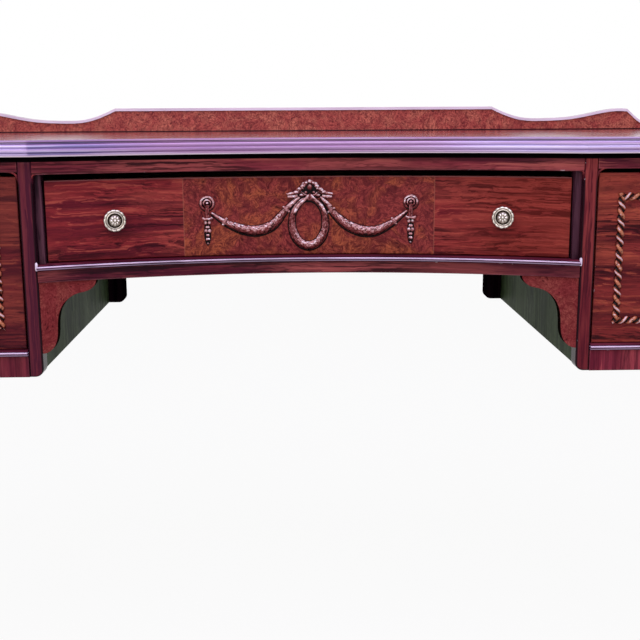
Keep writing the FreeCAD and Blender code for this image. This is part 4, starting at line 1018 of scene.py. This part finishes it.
# The last number of a drop is its crest: above 1 painted glints, 0 a flat plate of painted shade.
BOW_DROPS = (
    (4.6, -38.6, 4.2, (2.3, 1.6, 2.4), 1.1), (9.2, -43, 4.2, (3.335, 2.32, 2.4), 1.1),
    (13.8, -46.4, 4.2, (2.53, 1.76, 2.4), 1.1), (18.4, -50.8, 4.2, (3.22, 2.24, 2.4), 1.1),
    (7.4, -40.4, 3, (3.2, 2.6, 2.8), 1.15), (9.9, -45, 3, (2.2, 3.6, 2.8), 1.15),
    (15.2, -48.4, 3, (2.6, 3, 2.8), 1.15), (10.2, -54, 0.6, (6.2, 4.6, 1.4), 0),
    (10.6, -55, 1.8, (3.4, 2, 2.4), 0.8), (5.2, -51.4, 1.8, (2, 1.9, 2), 0.6),
)


def ribbon(points, width, roll=0, painted_highlight=0, thick=1.1):
    """A strip along a flat path of x, z and out. The strip's cross line is beside it, rolled by an angle."""
    count = 30
    path, _ = smooth_path(points, count)
    _, cosine, sine = circle(12)
    beside = beside_path(path)
    angle = (roll * np.sin(np.linspace(0, 4 * np.pi, count)))[:, None]
    cross = np.cos(angle) * beside + np.sin(angle) * OUT
    face = -np.sin(angle) * beside + np.cos(angle) * OUT
    half = np.interp(np.linspace(0, 1, count), np.linspace(0, 1, len(width)), width)[:, None] / 2
    edge = np.sign(cosine) * np.abs(cosine) ** 0.6
    # The crest paints a ribbon dark where it meets the face, as shade, lighter on its edges and upper side,
    # as light, plus a given painted highlight.
    crest = np.clip(sine + 0.3, 0, 1) * (0.6 + 0.4 * np.abs(edge) + painted_highlight) * rubbed_and_lit(cosine * beside[:, 1:2])
    carve(sweep(path, half * edge, np.tile(thick * sine, (count, 1)), cross, face), crest)


# A flat dark plate of painted shade lies behind the bow.
ball(BOW_MIDDLE, -47.5, 0.4, (15.5, 10.5, 1.2), 0)
for side in (-1, 1):
    for points, width, roll, painted_highlight in BOW_RIBBONS:
        ribbon([(BOW_MIDDLE + side * x, up, out) for x, up, out in points], width, roll, painted_highlight)
    for x, up, out, radii, crest in BOW_DROPS:
        ball(BOW_MIDDLE + side * x, up, out, radii, crest)
ball(BOW_MIDDLE, -37.2, 3.4, (3.2, 2.8, 3), 1.2)
ball(BOW_MIDDLE, -44.6, 2, (3.4, 4.2, 2.8), 0.55)
KNOT = ((0.05, -0.5), (3.4, 0.4), (4.5, 2.4), (3.9, 4.4), (2, 5.8), (0.05, 6.2))
carve(turned(KNOT, (1.2, -57.4, 0), (0, 0, 1), 20), 0.62)
print("with the bow, skins:", len(carving))

# %% Carve the rosettes and the husks
ROSETTE = ((0.05, 0, 0), (9.2, 0, 0), (9.7, 1.2, 0.3), (9.4, 2.6, 0.9), (8.4, 3.4, 1.1), (7.4, 3.2, 1),
           (6.8, 2.2, 0.3), (6.4, 1.4, 0), (5.9, 1.4, 0), (5.5, 2.8, 0.7), (4.6, 3.8, 1.1),
           (3.8, 3.4, 0.6), (3.3, 2, 0.1), (2.8, 1.4, 0), (2.2, 1.5, 0), (1.7, 3, 0.8), (1, 4.2, 1.1),
           (0.05, 4.5, 1.2))
HUSKS = ((-89.2, 2.4, 2.1), (-95, 1.1, 1.6), (-100.2, 2.3, 2.3), (-105.6, 0.8, 1.5), (-110.8, 1, 1.7),
         (-116.6, 0, 1.4))
for x in (-132.9, 132.9):
    # The rings are painted dark in their hollows, as shade, and lighter on their upper side, as light from
    # above.
    crests = np.array(ROSETTE)[:, 2:] * rubbed_and_lit(0.7 * circle(36)[1])
    carve(turned(ROSETTE, (x, -63.8, 0), (0, 0, 1), 36), crests)
    # Flat dark plates of painted shadow lie behind the rosette and behind the husks.
    ball(x, -64.6, 0, (10.5, 10.7, 0.35), 0)
    ball(x, -102, 0, (4.8, 17.5, 0.35), 0)
    ribbon([(x, -66, 4.4), (x, -71, 4.6), (x, -76, 3.6), (x, -83, 3)], (3.6, 4.8, 4.6, 4), thick=1.4)
    loops = ((-6.6, -82.6, 2), (-3.2, -84.6, 3), (0, -84, 3.4), (3.2, -84.6, 3), (6.6, -82.6, 2))
    ribbon([(x + way, up, out) for way, up, out in loops], (2.6, 3.8, 2.4, 3.8, 2.6), painted_highlight=0.4, thick=1.5)
    for up, gap, radius in HUSKS:
        for side in (-1, 1):
            ball(x + side * gap, up, 1.4, (radius, radius * 1.25, radius), 0.92)
piece("carved_laurel", carving, "carved_laurel", "centre_drawer", "laurel_carving")

# %% [markdown]
# ## Rope mouldings
# Each deep drawer has a raised frame of carved rope, mitred at its corners. Two strands wind about one line,
# so a slice through the rope is two touching circles, and the slice turns as it moves along. At a corner each
# slice is cut off on the slant, its outer side late and its inner side early, which makes the mitre.

# %% Carve the ropes
ROPE_PITCH, STRAND_OFFSET, STRAND_RADIUS = 22, 2.1, 3.05
FRAME_HALF = 5


def rope_run(length, start_turn):
    """One side of a rope frame: how far along it, outside its line and out from the drawer its points lie.

    At an angle d from a strand's own line its skin is offset cos d + sqrt(radius ** 2 - (offset sin d) ** 2)
    from the middle of the rope. A point outside the line may run as far past both ends, and no further."""
    past = STRAND_OFFSET + STRAND_RADIUS
    way = np.arange(-past, length + past, 1)[:, None]
    turn, cosine, sine = circle(22)
    d = turn[None] + 2 * np.pi * way / ROPE_PITCH - start_turn
    far = np.abs(np.cos(d)) * STRAND_OFFSET + np.sqrt(STRAND_RADIUS ** 2 - (STRAND_OFFSET * np.sin(d)) ** 2)
    outside = far * cosine
    low = math.sqrt(STRAND_RADIUS ** 2 - STRAND_OFFSET ** 2)
    height = np.clip((far - low) / (past - low), 0, 1) ** 0.75
    # The strands are painted as light falls on them: the first lit, the second shaded with silvery painted
    # glints; the rope is painted dark, as shade, where it meets the drawer.
    painted_glints = 0.3 * height + 1.3 * np.clip((height - 0.8) / 0.15, 0, 1)
    crest = np.clip((sine + 0.1) / 0.5, 0, 1) * np.where(np.cos(d) > 0, height * 1.05, painted_glints)
    return np.clip(way, -outside, length + outside), outside, far * sine + 0.4, crest


def rope_frame(body, node):
    """The four sides of a rope frame, laid on the drawer where the plain frame lies."""
    low, high = (np.array(corner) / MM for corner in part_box(node))
    left, bottom = low[0] + FRAME_HALF, low[2] + FRAME_HALF
    right, top = high[0] - FRAME_HALF, high[2] - FRAME_HALF
    starts = ((left, top, 1, 0), (right, top, 0, -1), (right, bottom, -1, 0), (left, bottom, 0, 1))
    skins = []
    for index, (x, z, ahead_x, ahead_z) in enumerate(starts):
        way, outside, out, crest = rope_run((right - left, top - bottom)[index % 2], 0.9 * index)
        x = x + way * ahead_x - outside * ahead_z
        z = z + way * ahead_z + outside * ahead_x
        skins.append(skin(np.stack([x, high[1] - out, z], -1) * MM, crest=crest))
    piece(f"{body}_rope", skins, "carved_rope", body, node)


for body in ("left_drawer", "right_drawer"):
    rope_frame(body, f"{body}_rope_frame")

# %% [markdown]
# ## Brass knobs
# The knobs are cast rosettes: a ring of petals round a plain dished ring, and a small daisy on the boss.
# A turned outline gives the rings, and a wave round the axis cuts the petals. Old brass is bright where
# fingers rub it and brown in its hollows, so it reads its crest too.

# %% Outline, petals and brass of a knob
KNOB = ((0.1, 0, 0), (8.6, 0, 0.1), (8.9, 0.7, 0.2), (8.1, 2.4, 0.2), (7.9, 4.6, 0.2), (9.2, 7.4, 0.3),
        (11.6, 9.8, 0.35), (13.3, 11.4, 0.45), (14.1, 12.8, 0.6), (14.3, 13.8, 0.8), (13.9, 14.8, 0.9),
        (13.1, 15.5, 0.95), (12.3, 15.7, 0.9), (11.6, 15.4, 0.75), (11.1, 14.8, 0.6), (10.7, 14.3, 0.55),
        (10.3, 14.5, 0.7), (9.8, 15, 0.85), (9.3, 14.8, 0.75), (8.9, 14.1, 0.5), (8.7, 13.2, 0.2),
        (8.3, 12.8, 0.1), (8, 13.2, 0.1), (7.8, 14.2, 0.35), (7.4, 15.4, 0.45), (6.8, 16.5, 0.6),
        (5.9, 17.5, 0.75), (4.8, 18.3, 0.85), (3.6, 18.8, 0.8), (2.9, 18.6, 0.55), (2.4, 18.2, 0.4),
        (1.7, 18.7, 0.7), (1.1, 19.4, 0.9), (0.5, 19.8, 1), (0.1, 19.9, 1))


def petals(turn, far, way):
    """Thirteen broad petals on the rim and eight on the boss, notched by 2 |cos(n turn / 2)| - 1."""
    rim = np.clip((far - 10.4) / 2.4, 0, 1)
    boss = np.clip((7.6 - far) / 1.2, 0, 1) * np.clip((far - 2.6) / 1, 0, 1) * (way > 14)
    outer, inner = (2 * np.abs(np.cos(count / 2 * turn)) - 1 for count in (13, 8))
    return far * (1 + 0.014 * rim * (outer - 1)), way + 0.3 * rim * outer * (way > 9) + 0.6 * boss * inner


tree = new_material("antique_brass")
spots = speckle(grain_place(tree, "x"), (500, 500, 500), 4)
high = carved_height(tree) + (spots * 0.7 - 0.35)
metal = lay(ramp(high, 0, 0.4), "#2a1e1e", "#7c7068")
metal = lay(ramp(high, 0.4, 0.95), metal, "#cac2ba")
finish(metal, spots * 0.3 + 0.18, spots, gloss=0.5, coat=0, bump=0.12, metallic=1, reach=0.0002)
print("knob, in mm across:", 2 * max(far for far, _, _ in KNOB))

# %% Cast the knobs
def cast_knobs(name, places, body, node):
    """Knobs as high as the plain ones. Each place is x and y in mm, and the direction that it stands in."""
    low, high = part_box(node)
    skins = []
    for x, y, outward in places:
        foot = np.array([x, y, (low[2] + high[2]) / 2 / MM])
        rings = turned(KNOB, foot, outward, 156, petals)
        plain = turned(KNOB, foot, outward, 156)
        raised = np.linalg.norm(rings - foot, axis=-1) - np.linalg.norm(plain - foot, axis=-1)
        skins.append(skin(rings * MM, crest=np.clip(np.array(KNOB)[:, 2:] + 0.6 * raised, 0, 1)))
    piece(name, skins, "antique_brass", body, node)


KNOB_REACH, SIDE_KNOB_REACH, SIDE_FRONT = 250, 489, -259
deep = math.sqrt((HOLLOW_RADIUS / MM) ** 2 - KNOB_REACH ** 2)
places = [(x, HOLLOW_CENTRE / MM + deep, (-x, -deep, 0)) for x in (-KNOB_REACH, KNOB_REACH)]
cast_knobs("rosette_knobs", places, "centre_drawer", "centre_drawer_knobs")
for body, x in (("left_drawer", -SIDE_KNOB_REACH), ("right_drawer", SIDE_KNOB_REACH)):
    cast_knobs(f"{body}_rosette_knob", [(x, SIDE_FRONT, (0, -1, 0))], body, f"{body}_knob")

# %% [markdown]
# ## Small shapes round the openings
# Two details are too small for the boards. Little hollow fillets ease the upper corners of the drawer
# openings, so the stiles seem to flare into the rails. And the ledge under the wide drawer turns up at both
# ends, where it dies against the stiles.

# %% Fillets and upturned ledge ends
FILLET_FRONT = -264.6


def corner_fillet(x, z, side, radius, deep):
    """The solid between a square corner and the quarter circle that touches both its sides.

    The circle's middle is radius from both sides, so its edge is (r - r sin t, r - r cos t) from the corner,
    and the square's edge beside it is the same place pushed out to the nearer side."""
    t = np.linspace(0, np.pi / 2, 9)
    inner = np.stack([radius - radius * np.sin(t), radius - radius * np.cos(t)], -1)
    outer = np.where(t[:, None] < np.pi / 4, inner * (1, 0), inner * (0, 1)) - 0.4
    ring = np.stack([inner, outer, outer, inner], 1)
    y = np.broadcast_to(FILLET_FRONT + np.array([0, 0, deep, deep]), ring.shape[:2])
    return np.stack([x + side * ring[..., 0], y, z - ring[..., 1]], -1) * MM


# Corners of the wide opening and of both sides of a deep one: x, z, the way in, the radius and the depth.
CORNERS = ((340, 726, -1, 4.5, 8), (358, 729, 1, 10.5, 5), (620, 729, -1, 10.5, 5))
fillets = [skin(corner_fillet(side * x, z, side * inwards, radius, deep))
           for side in (-1, 1) for x, z, inwards, radius, deep in CORNERS]
piece("opening_fillets", fillets, "fillet_rosewood", "case", smooth=False)

LEDGE_END = ((0.2, -3.6), (1.2, -3.4), (1.7, -2), (1.8, 1), (1.7, 5), (1.3, 6.4), (0.7, 6.9), (0.2, 7))
# The ends wear the gallery bead's pale finish, a painted highlight.
ends = [skin(turned(LEDGE_END, (side * 340.3, -267.2, 611.2), (0, 0, 1), 16) * MM) for side in (-1, 1)]
piece("ledge_ends", ends, "gallery_bead", "case")
